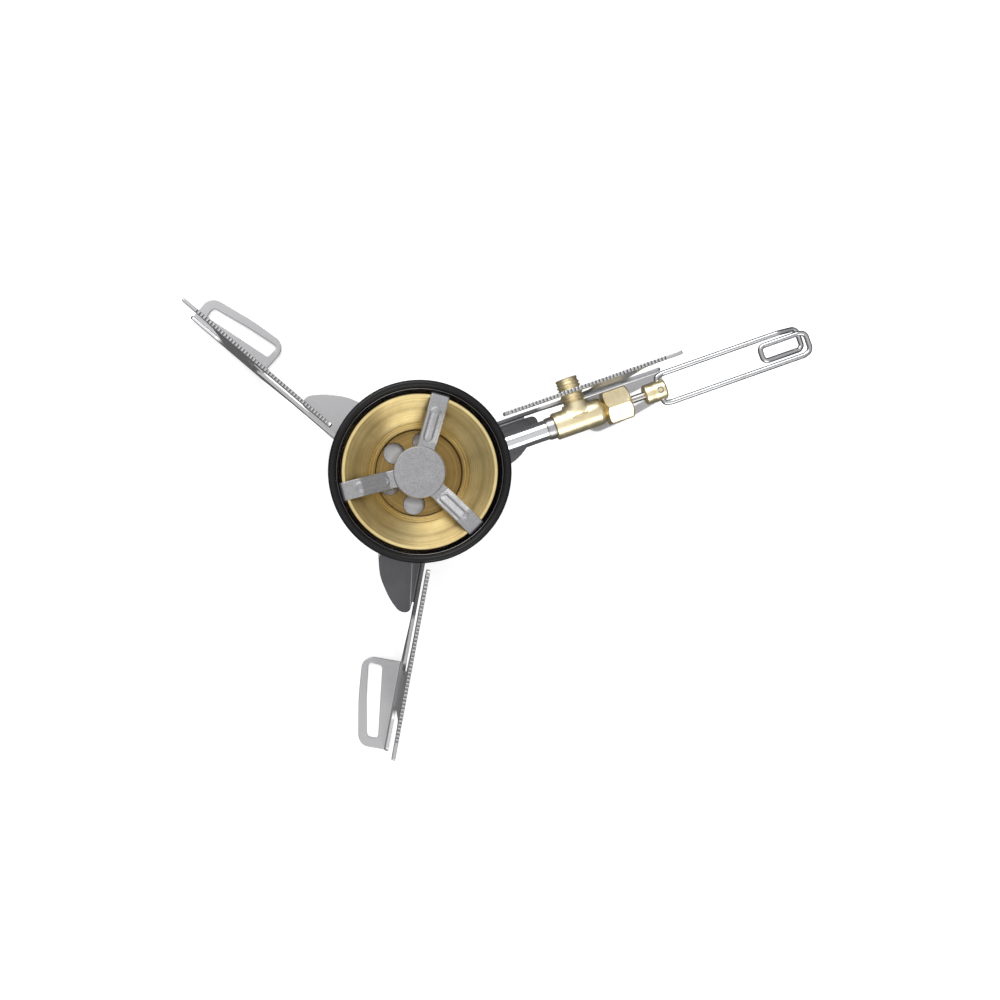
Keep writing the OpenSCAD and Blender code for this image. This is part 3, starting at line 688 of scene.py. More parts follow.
def cup_shape(sizes):
    """The cup: a turned wall, a floor of sectors ruled round the air holes, and their bores."""
    floor = bowl_heights()[1]
    below = floor - CUP_WALL
    shell = Shell()
    upper = round_hole(HOLE_RADIUS + HOLE_EDGE, floor)
    lower = round_hole(HOLE_RADIUS, below)
    mouth = round_hole(HOLE_RADIUS, floor - HOLE_EDGE)[:1]
    bore = np.concatenate([upper[:1], mouth, lower[:1]])
    for turn in HOLE_ANGLES:
        for grid in (upper, lower, bore):
            shell.grid(turn_about_z(grid, turn), wrap_columns=True)
    bare = HOLE_ANGLES[-1] + np.linspace(HALF_SECTOR, TURN / 2 - HALF_SECTOR, 49)
    for height in (floor, below):
        shell.grid(turned([(r, height) for r in (BORE_RADIUS, 7.5, FLOOR_RADIUS)], bare))
    edge = upper[-1]
    corners = np.array([turn + s * HALF_SECTOR for turn in HOLE_ANGLES for s in (-1, 1)])
    for radius, section in ((FLOOR_RADIUS, bowl_section(sizes)),
                            (BORE_RADIUS, [(BORE_RADIUS, floor), (BORE_RADIUS, below)])):
        on_circle = edge[np.abs(np.hypot(edge[:, 0], edge[:, 1]) - radius) < TINY]
        met = np.arctan2(on_circle[:, 1], on_circle[:, 0])
        turns = np.concatenate([turn + met for turn in HOLE_ANGLES] + [bare[1:-1], corners])
        shell.grid(turned(section, np.unique(np.round(turns % TURN, 9))), wrap_columns=True)
    boss = [(BOSS_RADIUS, below - BOSS_DEPTH), (BOSS_RADIUS, below),
            (BORE_RADIUS + 0.05, below - 0.001), (MIX_RADIUS, below - 0.3),
            (MIX_RADIUS, below - BOSS_DEPTH)]
    shell.grid(turned(boss, steps=96), wrap_rows=True, wrap_columns=True)
    return shell


def arm_grid(sizes):
    """One spreader arm: a rounded section carried along its side view.

    The side view leaves the disc level, climbs to the lip and folds down outside it. Across
    the arm the upper face carries a raised bead, a smooth bump on an oval line.
    """
    thick = ARM_SHEET / 2
    start = DISC_LOW + DISC_HEIGHT - thick - 0.35
    top = box_mm("flame_spreader")[1][2] - thick
    outer = LIP_RADIUS + 0.1 + thick
    path = evenly(cornered([(6.3, start, 0), (8.85, start, 1.2), (16.6, top, 2.2),
                            (outer, top, 0.75), (outer, top - ARM_DROP, 0)], 8), 90)
    ahead = tangents(path)
    up = np.stack([-ahead[:, 1], ahead[:, 0]], axis=1)
    along = np.linspace(0, 1, len(path)) * np.sum(np.linalg.norm(np.diff(path, axis=0), axis=1))
    across = np.linspace(-1, 1, 33)
    neck = 1 - 0.05 * np.exp(-((along - 1.4) / 0.9) ** 2)
    end = np.clip((along[-1] - along) / 0.9, 0, 1)
    half = ARM_WIDTH / 2 * neck * (1 - 0.22 * (1 - np.sqrt(1 - (1 - end) ** 2)))
    y = across[None] * half[:, None]
    oval = np.hypot(np.maximum(np.abs(along[:, None] - BEAD_AT) - BEAD_HALF, 0), y)
    bead = sizes.bead_height / MM * np.exp(-((oval - BEAD_RADIUS) / BEAD_SPREAD) ** 2)
    rim = ((np.abs(across) - 1 + ARM_ROUND) / ARM_ROUND).clip(0)
    edge = thick * np.sqrt(np.clip(1 - rim ** 2, 0.0, 1))
    faces = []
    for sign in (1, -1):
        lift = sign * edge[None] + bead
        faces.append(np.stack([path[:, :1] + up[:, :1] * lift, y,
                               path[:, 1:] + up[:, 1:] * lift], axis=2))
    return np.concatenate([faces[0], faces[1][:, ::-1]], axis=1)


def spreader_shape(sizes):
    """The disc turned from a chamfered section, and three pressed arms."""
    top, soft = DISC_LOW + DISC_HEIGHT, DISC_EDGE * 0.8
    rim = cornered([(0, DISC_LOW, 0), (DISC_RADIUS - DISC_EDGE - 0.4, DISC_LOW, 0),
                    (DISC_RADIUS - DISC_EDGE, DISC_LOW, 0.3),
                    (DISC_RADIUS, DISC_LOW + DISC_EDGE, 0.3), (DISC_RADIUS, top - soft, 0.3),
                    (DISC_RADIUS - soft, top, 0.2), (DISC_RADIUS - soft - 0.4, top, 0),
                    (0, top, 0)], 4)
    shell = Shell().grid(turned(rim, steps=96), wrap_columns=True)
    arm = arm_grid(sizes)
    for turn in ARM_TURNS:
        placed = turn_about_z(arm, turn)
        shell.grid(placed, wrap_columns=True).cap(placed[0]).cap(placed[-1])
    return shell


# ---------------------------------------------------------------- fuel line

TUBE_RADIUS, TUBE_BORE, TUBE_START, TUBE_END = 3.0, 2.1, 3.0, 45.5
COLLAR_START, COLLAR_RISE = 40.1, 0.3
VALVE_RADIUS, VALVE_START, VALVE_END, VALVE_BORE = 4.0, 42.5, 58.3, 1.2
DOME_RADIUS, DOME_SWEEP = 2.1, math.radians(68)
NECK_RADIUS, NECK_LENGTH = 3.0, 4.0
STUB_AT, STUB_RADIUS, STUB_BORE, STUB_FOOT = 50.4, 3.45, 1.5, VALVE_RADIUS + 0.8
BRANCH_RADIUS, BRANCH_BORE, BRANCH_DEPTH, FILLET = STUB_RADIUS + 0.35, 2.0, 3.0, 0.95
NUT_HALF, NUT_BORE, NUT_HOLLOW = 4.8, 1.6, 2.5
HUB_START, HUB_END, HUB_BORE = 70.6, 77.3, 1.16
PIN_AT, PIN_OUTER, PIN_INNER, PIN_CHAMFER, PIN_SLOT = 75.3, 1.0, 0.6, 0.18, 0.3
PIVOT, HANDLE_LENGTH, HANDLE_HALF = 75.6, 47.5, 4.4
WIRE, LOOP_LENGTH, LOOP_HALF, WIRE_SEAT = 1.6, 14.5, 2.3, 1.7


def lathe_x(section, steps=112, closed=True):
    """A shell turned about the fuel line from a section of (radius, x)."""
    return Shell().grid(along_fuel_line(turned(section, steps=steps)), wrap_rows=closed,
                        wrap_columns=True)


def tube_shape():
    """A thin tube along the fuel line, its radius swelling and shrinking a little along it.

    The outer radius is the nominal one less a small wave of x, as hand polishing leaves it.
    """
    x = np.linspace(TUBE_START + 0.2, TUBE_END - 0.2, 60)
    wave = 0.035 * (1 - np.cos(TURN * (x - 27.0) / 17.0)) * (0.6 + 0.4 * np.sin(x / 5.0))
    edge = TUBE_RADIUS - 0.2
    return lathe_x(np.vstack([
        [(TUBE_BORE, TUBE_START), (edge, TUBE_START)],
        np.stack([TUBE_RADIUS - wave, x], axis=1), [(edge, TUBE_END), (TUBE_BORE, TUBE_END)]]))


def collar_shape():
    """A low collar brazed on the tube: a fillet of solder, then a soft-edged band."""
    top = TUBE_RADIUS + COLLAR_RISE
    return lathe_x(cornered([
        (TUBE_RADIUS, COLLAR_START, 0), (TUBE_RADIUS + 0.12, COLLAR_START + 0.1, 0.2),
        (top, COLLAR_START + 0.7, 0.3), (top, VALVE_START, 0.1),
        (TUBE_RADIUS, VALVE_START, 0)], 4))


def valve_shape():
    """The valve's body turned about the fuel line, with a branch for the stub grown from it.

    A point of the branch lies on a circle about the stub's axis; its height is that of the
    body's surface under it plus a rise, and the circle narrows with the rise along a quarter
    of a circle, which makes the fillet.
    """
    a = np.linspace(0, DOME_SWEEP, 9)
    dome = np.stack([VALVE_RADIUS - DOME_RADIUS + DOME_RADIUS * np.cos(a),
                     VALVE_END - DOME_RADIUS + DOME_RADIUS * np.sin(a)], axis=1)
    neck_end = VALVE_END + NECK_LENGTH
    shell = lathe_x(np.vstack([
        cornered([(TUBE_RADIUS, VALVE_START, 0), (VALVE_RADIUS, VALVE_START, 0.55),
                  (VALVE_RADIUS, VALVE_START + 1.0, 0)], 5), dome,
        [(NECK_RADIUS, VALVE_END), (NECK_RADIUS, neck_end), (2.5, neck_end),
         (VALVE_BORE, neck_end), (VALVE_BORE, VALVE_START + 3.2),
         (TUBE_RADIUS, VALVE_START + 3.0)]]), steps=128)
    b = np.linspace(0, math.pi / 2, 8)
    rise = np.concatenate([[-0.4], FILLET * (1 - np.cos(b)), [FILLET + 0.2]])
    width = np.concatenate([[FILLET], FILLET * (1 - np.sin(b)), [0.0]])
    turns = np.arange(128) * TURN / 128
    radius = BRANCH_RADIUS + width[:, None] * 0.8
    across = radius * np.sin(turns)[None]
    under = np.minimum(np.abs(across), VALVE_RADIUS - 0.1)
    surface = np.sqrt(np.maximum(VALVE_RADIUS ** 2 - under ** 2, 0.0))
    share = np.linspace(0, 1, len(rise))[:, None] ** 3
    height = np.minimum((surface + rise[:, None]) * (1 - share) + STUB_FOOT * share, STUB_FOOT)
    branch = np.stack([radius * np.cos(turns), height, across], axis=2)
    bore = levels(turns, [(BRANCH_BORE, STUB_FOOT), (BRANCH_BORE, STUB_FOOT - BRANCH_DEPTH)])
    return shell.grid(at_stub(np.concatenate([branch, bore])), wrap_rows=True,
                      wrap_columns=True)


def levels(turns, section):
    """Rings round the stub's axis, one at each radius and height of a section."""
    return turned(section, turns)[..., [0, 2, 1]]


def at_stub(grid):
    """A shape made round Y moved to the stub's axis."""
    return grid + np.array([STUB_AT, 0.0, FUEL_AXIS[2] / MM])


def stub_shape(sizes):
    """The hose stub: a helical thread, radius = root + depth x wave(height / pitch - turn).

    wave is a flat-topped ridge with smooth flanks, and fades out at both ends of the thread.
    """
    tip, foot = box_mm("hose_stub")[1][1], STUB_FOOT
    turns = np.arange(96) * TURN / 96
    depth = sizes.thread_depth / MM
    y = np.linspace(foot + 0.25, tip - 0.75, 150)[:, None]
    phase = (y - turns[None] / TURN) % 1.0
    ridge = np.clip((0.36 - np.abs(phase - 0.5)) / 0.16, 0, 1)
    ridge = ridge * ridge * (3 - 2 * ridge)
    fade = np.clip((tip - 1.0 - y) / 0.5, 0, 1) * np.clip((y - foot - 0.3) / 0.4, 0, 1)
    radius = STUB_RADIUS - depth * (1 - ridge * fade)
    thread = np.stack([radius * np.cos(turns), y + 0 * radius, radius * np.sin(turns)], axis=2)
    root = STUB_RADIUS - depth
    start = [(1.9, foot - 1.5), (root, foot - 1.5), (root, foot + 0.2)]
    end = [(root, tip - 0.7), (STUB_RADIUS - 0.18, tip - 0.55),
           (STUB_RADIUS - 0.14, tip - 0.25), (STUB_RADIUS - 0.4, tip), (STUB_BORE + 0.2, tip),
           (STUB_BORE, tip - 0.2), (STUB_BORE, tip - 3.2), (STUB_BORE, foot - 1.5)]
    grid = np.concatenate([levels(turns, start), thread, levels(turns, end)])
    return Shell().grid(at_stub(grid), wrap_rows=True, wrap_columns=True)


def nut_shape():
    """The hexagon nut: radius = the lesser of a hexagon and a cone at each end.

    The hexagon's radius is half its width / cos(angle from the nearest flat), softened near
    its corners, and the cones leave round scallops on the flats.
    """
    low, high = box_mm("packing_nut")
    start, end = low[0], high[0]
    turns = np.arange(144) * TURN / 144
    from_flat = (turns + TURN / 12) % (TURN / 6) - TURN / 12
    corner = NUT_HALF / math.cos(TURN / 12)
    hexagon = np.minimum(NUT_HALF / np.cos(from_flat), corner - 0.09)
    x = np.concatenate([start + np.linspace(0, 1.1, 12), [start + 2.5, end - 2.5],
                        end - 1.1 + np.linspace(0, 1.1, 12)])[:, None]
    step = np.minimum(x - start, end - x)
    cone = np.where(x - start < 3, NUT_HALF - 0.12 + 1.05 * np.sqrt(np.clip(step / 1.1, 0, 1)),
                    NUT_HALF - 0.25 + 1.15 * np.clip(step / 0.9, 0, 1))
    wide = hexagon[None] + 0 * x
    gap = np.clip(0.5 + (cone - wide) / 0.2, 0, 1)
    radius = cone + (wide - cone) * gap - 0.1 * gap * (1 - gap)
    side = np.stack([radius * np.cos(turns), radius * np.sin(turns), x + 0 * radius], axis=2)
    inset = np.array([0.97, 0.97, 1.0])
    inside = turned([
        (3.9, end), (3.7, end - 0.25), (NUT_BORE + 0.15, end - 0.25), (NUT_BORE, end - 0.1),
        (NUT_BORE, end - 2.2), (NUT_HOLLOW, end - 2.2), (NUT_HOLLOW, start + 4.0),
        (NECK_RADIUS + CLEAR, start + 3.9), (NECK_RADIUS + CLEAR, start + 0.3),
        (NECK_RADIUS + 0.3, start)], turns)
    grid = np.concatenate([side[:1] * inset, side, side[-1:] * inset, inside])
    return Shell().grid(along_fuel_line(grid), wrap_rows=True, wrap_columns=True)


def hub_shape():
    """The handle's hub: turned with a chamfer at each end and a shallow step line."""
    r = box_mm("handle_hub")[1][1]
    inner = HUB_START + 0.5
    section = cornered([
        (HUB_BORE, inner, 0), (HUB_BORE, HUB_START, 0), (r - 0.5, HUB_START, 0.1),
        (r - 0.06, HUB_START + 0.45, 0.15), (r - 0.06, HUB_START + 2.5, 0.05),
        (r - 0.18, HUB_START + 2.6, 0.05), (r - 0.18, HUB_START + 2.8, 0.05),
        (r, HUB_START + 2.9, 0.05), (r, HUB_END - 0.45, 0.15), (r - 0.45, HUB_END, 0.1),
        (0.5, HUB_END, 0), (0, HUB_END, 0)], 3)
    return lathe_x(np.vstack([[(0.0, inner)], section]), closed=False)


def pin_shape():
    """The spring pin: a section bent round the pin's axis, stopping either side of its slot."""
    low, high = box_mm("spring_pin")
    bottom, top, rim = low[2], high[2], PIN_OUTER - PIN_CHAMFER
    section = [(PIN_OUTER, bottom + PIN_CHAMFER), (PIN_OUTER, top - PIN_CHAMFER), (rim, top),
               (PIN_INNER, top), (PIN_INNER, bottom), (rim, bottom)]
    grid = turned(section, math.pi + np.linspace(PIN_SLOT, TURN - PIN_SLOT, 49))
    grid[..., 0] += PIN_AT
    return Shell().grid(grid, wrap_rows=True).cap(grid[:, 0]).cap(grid[:, -1])


def wire_path():
    """Middle line of the handle's wire.

    It leaves the hub, runs out along one side, dips under its own end, makes the inner loop
    and comes back along the other side.
    """
    end = PIVOT + HANDLE_LENGTH - WIRE / 2
    inner, back = end - WIRE - 0.1, end - LOOP_LENGTH
    half, loop, dip = HANDLE_HALF, LOOP_HALF, WIRE + 0.15
    path = cornered([
        (PIVOT, WIRE_SEAT, 0, 0), (PIVOT, half - 0.5, 0, 1.1), (PIVOT + 2.2, half, 0, 3.0),
        (end - 7.5, half, 0, 2.5), (inner - 0.9, half - 0.35, -dip, 1.4),
        (inner, half - 1.4, -dip, 1.4), (inner, 1.0 - loop, -dip, 1.1),
        (inner - 1.0, -loop, -dip, 1.1), (back + 2.8, -loop, -0.35, 3.0),
        (back + 0.9, -loop, 0, 1.2), (back, 0.9 - loop, 0, 1.1), (back, loop - 0.9, 0, 1.1),
        (back + 0.9, loop, 0, 1.2), (inner - 0.4, loop, 0, 3.0), (end - 0.7, loop - 0.35, 0, 1.4),
        (end, loop - 1.3, 0, 1.4), (end, 1.7 - half, 0, 1.3), (end - 0.7, 0.5 - half, 0, 1.4),
        (end - 2.4, -half, 0, 3.0), (PIVOT + 2.2, -half, 0, 3.0), (PIVOT, 0.5 - half, 0, 1.1),
        (PIVOT, -WIRE_SEAT, 0, 0)])
    return evenly(path, 420) + np.array([0, 0, FUEL_AXIS[2] / MM])


def wire_shape():
    """A round bar along the wire's middle line."""
    return Shell().grid(round_bar(wire_path(), WIRE / 2), wrap_columns=True)


# ---------------------------------------------------------------- folding legs

SHEET = 1.0
WEB_OUT, WEB_IN = 7.25, 6.25
FOOT_IN, FOOT_OUT = 55.5, 82.5
POST = FOOT_IN + 0.6
ARM_START, ARM_TOP, BLADE_END = 16.0, 20.5, 36.6
POT = 66.0
TEETH_END, BEAM_IN, BEAM_OUT = 72.6, 26.0, 77.0
# A flat crest and a notch with steep flanks: the way inwards, and the height from the pot.
TOOTH = np.array([(0.0, 0.0), (-0.42, 0.0), (-0.64, -0.8), (-0.78, -0.8)])


def arc(x, y, radius, first, last, steps):
    """Points on a circle about x, y between two angles in degrees."""
    a = np.radians(np.linspace(first, last, steps + 1))
    return np.stack([x + radius * np.cos(a), y + radius * np.sin(a)], axis=1)


def web_loop(plate, bend):
    """Side view of a leg, counterclockwise: arm, foot line, post, toothed beam; and its bend mask.

    Teeth repeat every millimetre. The mask is 0 at the ends of the two bends.
    """
    crests = TEETH_END - np.arange(int(TEETH_END - BEAM_IN))
    teeth = np.stack([crests, np.full(len(crests), POT)], axis=1)[:, None] + TOOTH[None]
    level = plate + bend
    arm = [(ARM_START, level), (BLADE_END, level)]
    foot = [(FOOT_IN, bend), (FOOT_OUT, bend)]
    below = cornered([
        (BLADE_END, level, 0), (BLADE_END + 0.6, level, 0.3), (BLADE_END + 1.2, plate, 0.5),
        (42.0, plate, 2.0), (49.5, 5.0, 8.0), (FOOT_IN - 0.9, 1.1, 0.6), (FOOT_IN, bend, 0)],
        4)[1:-1]
    outside = np.vstack([
        cornered([(FOOT_OUT, bend, 0), (FOOT_OUT, 4.0, 1.2), (74.0, 5.0, 0)], 5)[1:-1],
        arc(POST + 19.0, 13.0, 8.0, 255, 180, 8), arc(POST + 16.0, 57.8, 5.0, 180, 90, 8),
        cornered([(73.0, POT - 3.2, 0), (BEAM_OUT, POT - 3.2, 0.9), (BEAM_OUT, POT, 0.5),
                  (TEETH_END, POT, 0)], 5)[1:-1]])
    inside = np.vstack([
        cornered([(BEAM_IN + 0.06, POT - 0.5, 0), (BEAM_IN - 0.3, POT - 3.5, 0.8),
                  (BEAM_IN + 1.2, POT - 5.0, 0.8), (POST - 12.0, POT - 6.0, 0)], 4),
        arc(POST - 12.0, POT - 18.0, 12.0, 88, 0, 12), arc(POST - 3.0, 23.5, 3.0, 0, -90, 6),
        [(24.0, ARM_TOP), (ARM_START, level + 1.0)]])
    loop = np.vstack([arm, below, foot, outside, teeth.reshape(-1, 2), inside])
    free = np.ones(len(loop))
    at_foot = len(arm) + len(below)
    free[[0, 1, at_foot, at_foot + 1]] = 0
    return loop, free


def bend_strip(shell, x0, x1, floor, radius):
    """A quarter turn of sheet between a flat floor and the upright web, carried along x."""
    a = np.linspace(0, -math.pi / 2, 9)
    outer, inner = [np.stack([r * np.cos(a), radius + r * np.sin(a)], axis=1)
                    for r in (radius, radius - SHEET)]
    section = np.vstack([outer, inner[::-1]]) + np.array([WEB_OUT - radius, floor])
    rows = np.stack([np.column_stack([np.full(len(section), x), section]) for x in (x0, x1)])
    shell.grid(rows, wrap_columns=True).cap(rows[0]).cap(rows[1])


def sheet_at(floor):
    """Places a flat sheet's loop of x, y at a height above a floor."""
    return lambda loop, height: np.column_stack([loop, np.full(len(loop), floor + height)])


def web_at(loop, height):
    """Places a web's loop of x, z on edge, at a distance from its inner face."""
    return np.column_stack([loop[:, 0], np.full(len(loop), WEB_IN + height), loop[:, 1]])


def joined_sides(sides, counts):
    """A closed loop made of paths, each sampled evenly and without its last point."""
    return np.vstack([evenly(side, count + 1)[:-1] for side, count in zip(sides, counts)])


def split_at(path, marks):
    """A path cut into pieces at the points of it that lie nearest to the marks."""
    cuts = [int(np.argmin(((path - mark) ** 2).sum(axis=1))) for mark in np.asarray(marks)]
    cuts = [0] + cuts + [len(path) - 1]
    return [path[i:j + 1] for i, j in zip(cuts, cuts[1:])]


def foot_loops(bend):
    """Outer edge and slot of a foot, matched side by side, counterclockwise.

    Also gives how many points lie along the bend and along the rest of the edge.
    """
    top = WEB_OUT - bend
    outer = cornered([(FOOT_IN, top, 0), (FOOT_IN, -5.5, 3.6), (68.0, -4.45, 60.0),
                      (FOOT_OUT, -1.85, 3.8), (FOOT_OUT, top, 0)], 12)
    slot = cornered([(79.5, 1.9, 0), (79.4, 3.7, 1.5), (68.0, 2.25, 30.0), (57.6, 0.95, 1.0),
                     (57.5, -1.2, 0), (57.4, -3.4, 1.3), (68.0, -2.0, 30.0), (79.4, 0.2, 1.4),
                     (79.5, 1.9, 0)], 8)
    outer_sides = [np.array([(FOOT_OUT, top), (FOOT_IN, top)])] + split_at(
        outer, [(56.6, -4.3), (81.3, -1.3)])
    first, *slot_sides, last = split_at(
        slot, [(79.0, 3.3), (57.9, 0.7), (57.8, -3.0), (79.0, 0.6)])
    slot_sides.append(np.vstack([last, first[1:]]))
    counts = (48, 24, 60, 24)
    return joined_sides(outer_sides, counts), joined_sides(slot_sides, counts), (48, 108)


def plate_loops(bend, eye):
    """Outer edge of a hub plate with its blade, and its eye, matched by angle about the pivot.

    Also gives how many points lie along the bend and along the rest of the edge.
    """
    top = WEB_OUT - bend
    counts = (24, 200)
    rest = cornered([
        (ARM_START, top, 0), (11.0, top + 0.1, 9.0), (0.0, 5.9, 4.6), (-4.17, 4.17, 5.0),
        (-5.9, 0.0, 5.0), (-4.17, -4.17, 5.0), (0.0, -5.9, 4.6), (5.0, -6.2, 6.0),
        (14.0, -7.0, 14.0), (24.0, -6.8, 18.0), (31.0, -5.0, 16.0), (37.0, -0.9, 18.0),
        (40.2, 2.6, 3.2), (39.9, 5.6, 1.6), (BLADE_END + 0.4, top, 0), (BLADE_END, top, 0)])
    outer = joined_sides(([(BLADE_END, top), (ARM_START, top)], rest), counts)
    angle = np.unwrap(np.arctan2(outer[:, 1], outer[:, 0]))
    return outer, eye * np.stack([np.cos(angle), np.sin(angle)], axis=1), counts


def leg_shape(sizes, plate, eye, turn):
    """One leg cut and bent from a sheet: web, two bends, foot loop and hub plate with blade."""
    bend, rounding = sizes.bend_radius / MM, sizes.edge_round / MM
    shell = Shell()
    flat_sheet(shell, *web_loop(plate, bend), SHEET, rounding, web_at)
    bend_strip(shell, FOOT_IN, FOOT_OUT, 0.0, bend)
    bend_strip(shell, ARM_START, BLADE_END, plate, bend)
    for (outer, inner, counts), floor in ((foot_loops(bend), 0.0),
                                          (plate_loops(bend, eye), plate)):
        free = np.repeat([0.0, 1.0], counts)
        free[counts[0]] = 0
        ring_sheet(shell, outer, inner, free, SHEET, rounding, sheet_at(floor))
    shell.points = [turn_about_z(points, turn) for points in shell.points]
    return shell


# Body, height of the hub plate, radius of its eye, turn about the pivot, and finish.
LEGS = {
    # leg_fixed and leg_front take the leg steel with painted shade under the burner.
    "leg_fixed": ("stove", 12.4, 2.0, 0.0, "leg with painted shade"),
    "leg_rear": ("leg_rear_swinging", 11.1, 3.25, THIRD, "leg"),
    "leg_front": ("leg_front_swinging", 13.7, 3.25, 2 * THIRD, "leg with painted shade"),
}
PAD_BORE, PAD_POWER, PAD_CLEAR = 6.25, 0.45, 0.02
# Height, count and start of each wave round the pad's upper face.
PAD_WAVES = (0.10, 7, 0.6), (0.07, 17, 2.0), (0.05, 31, 0.0)


def pad_shape():
    """The priming pad: a crowned felt ring, its upper face lifted by waves of its angle."""
    low, high = box_mm("priming_pad")
    outer, base, top = high[0], low[2], high[2]
    turns = np.arange(168) * TURN / 168
    a = np.linspace(0, TURN, 41)[:-1, None]
    across, up = [np.sign(way) * np.abs(way) ** PAD_POWER for way in (np.cos(a), np.sin(a))]
    wave = sum(size * np.sin(count * turns + start) for size, count, start in PAD_WAVES)
    r = (outer + PAD_BORE) / 2 + (outer - PAD_BORE) / 2 * across * (
        1 - 0.02 * (1 + np.sin(11 * turns)))
    z = (base + top) / 2 + ((top - base) / 2 - PAD_CLEAR) * up + (wave - 0.2) * (up > 0.5)
    return Shell().grid(np.stack([r * np.cos(turns), r * np.sin(turns), z], axis=2),
                        wrap_rows=True, wrap_columns=True)


# ---------------------------------------------------------------- operators

def settings():
    """The sizes and colours that the panel shows."""
    scene = bpy.context.scene
    return scene.burner_sizes, scene.burner_colours


class MakeFinishes(bpy.types.Operator):
    """Make every finish from the colours; the pieces are added after it"""
    bl_idname = "burner.finishes"
    bl_label = "Make finishes"

    def execute(self, context):
        FINISHES.update(make_finishes(settings()[1]))
        return {"FINISHED"}


class AddRing(bpy.types.Operator):
    """Add the black ring round the burner head"""
    bl_idname = "burner.add_ring"
    bl_label = "Ring"

    def execute(self, context):
        finish_piece("ring", ring_shape(), "stove", ["flame_ring"],
                     FINISHES["enamel"])
        return {"FINISHED"}


class AddBell(bpy.types.Operator):
    """Add the sheet bell under the ring"""
    bl_idname = "burner.add_bell"
    bl_label = "Bell"

    def execute(self, context):
        finish_piece("bell", bell_shape(), "stove", ["burner_bell"],
                     FINISHES["bell"])
        return {"FINISHED"}


class AddCup(bpy.types.Operator):
    """Add the brass cup with its grooves and air holes"""
    bl_idname = "burner.add_cup"
    bl_label = "Brass cup"

    def execute(self, context):
        finish_piece("cup", cup_shape(settings()[0]), "stove", ["burner_cup"],
                     FINISHES["bowl"])
        return {"FINISHED"}


class AddSpreader(bpy.types.Operator):
    """Add the spreader disc and its three pressed arms"""
    bl_idname = "burner.add_spreader"
    bl_label = "Flame spreader"

    def execute(self, context):
        finish_piece("spreader", spreader_shape(settings()[0]), "stove",
                     ["flame_spreader"], FINISHES["spreader"])
        return {"FINISHED"}


class AddFuelLine(bpy.types.Operator):
    """Add the tube, its collar, the valve body, the threaded stub and the hexagon nut"""
    bl_idname = "burner.add_fuel_line"
    bl_label = "Fuel line"

    def execute(self, context):
        sizes = settings()[0]
        for name, shell, slot, node, finish_name in (
                ("tube", tube_shape(), "polished_steel", "fuel_tube", "polished"),
                ("collar", collar_shape(), "zinc_steel", "tube_collar", "braze"),
                ("valve", valve_shape(), "bright_brass", "valve_body", "valve"),
                ("stub", stub_shape(sizes), "brass", "hose_stub", "thread"),
                ("nut", nut_shape(), "bright_brass", "packing_nut", "valve")):
            finish_piece(name, shell, "stove", [node], FINISHES[finish_name])
        return {"FINISHED"}


class AddHandle(bpy.types.Operator):
    """Add the hub, the slotted pin and the folding wire handle"""
    bl_idname = "burner.add_handle"
    bl_label = "Valve handle"

    def execute(self, context):
        finish_piece("hub", hub_shape(), "spindle_turning", ["handle_hub"],
                     FINISHES["valve"])
        finish_piece("pin", pin_shape(), "spindle_turning", ["spring_pin"],
                     FINISHES["spindle"])
        finish_piece("wire", wire_shape(), "handle_folding", ["wire_handle"],
                     FINISHES["wire"])
        return {"FINISHED"}


class AddLegs(bpy.types.Operator):
    """Add the three bent and toothed legs"""
    bl_idname = "burner.add_legs"
    bl_label = "Legs"

    def execute(self, context):
        sizes = settings()[0]
        for node, (body, plate, eye, turn, finish_name) in LEGS.items():
            finish_piece(node + "_sheet", leg_shape(sizes, plate, eye, turn), body,
                         [node], FINISHES[finish_name], flat_faces=True)
        return {"FINISHED"}


class AddPad(bpy.types.Operator):
    """Add the felt priming pad"""
    bl_idname = "burner.add_pad"
    bl_label = "Priming pad"

    def execute(self, context):
        pad = finish_piece("pad", pad_shape(), "stove", ["priming_pad"],
                           FINISHES["felt"])
        return {"FINISHED"}


NODE_FINISHES = {
    "mixing_tube": "zinc", "bell_bracket": "zinc", "bell_screws": "zinc", "jet": "brass",
    "jet_block": "brass", "priming_cup": "bell", "inlet_filter": "thread",
    "packing_seal": "graphite", "seal_washer": "brass", "spindle_oring": "rubber",
    "valve_spindle": "spindle", "pivot_bolt": "zinc", "lower_bush": "brass",
    "upper_bush": "brass", "bolt_washer": "zinc", "stack_washer": "zinc",
}


class FinishFrame(bpy.types.Operator):
    """Give the remaining CAD nodes their finishes"""
    bl_idname = "burner.finish_frame"
    bl_label = "Finish the frame's own nodes"

    def execute(self, context):
        for node, finish_name in NODE_FINISHES.items():
            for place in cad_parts[node].material_slots:
                place.material = FINISHES[finish_name]
        return {"FINISHED"}


# ---------------------------------------------------------------- stage

RING_TOP = Vector((0.0, 0.0, 0.056))
VIEW_DISTANCE, VIEW_TILT, VIEW_FROM = 0.45, math.radians(3.0), math.radians(210.6)
IMAGE_UP = math.radians(70.6)
AIM_RIGHT, AIM_UP = 0.0481571, -0.0174018
LENS, SENSOR = 59.58, 36.0
NEAREST, FARTHEST = 0.01, 20.0
# Height of a direction, and the studio's level there.
SKY = (0.0, 0.13), (0.18, 0.2), (0.32, 0.36), (0.52, 0.5), (0.8, 0.72), (1.0, 0.88)
BACKDROP = (0.97, 0.97, 0.97, 1.0)
FLOOR_HALF, FLOOR_DROP, FLOOR_GLOW = 3.0, 2e-5, 0.38
SOFTBOX_SIZE, SOFTBOX_AIM = (1.1, 0.8), (0.0, 0.0, 0.03)
SOFTBOXES = ("Key", (0.0, 1.05, 0.9), 13.0), ("Fill", (-0.1, -1.1, 0.8), 8.5)


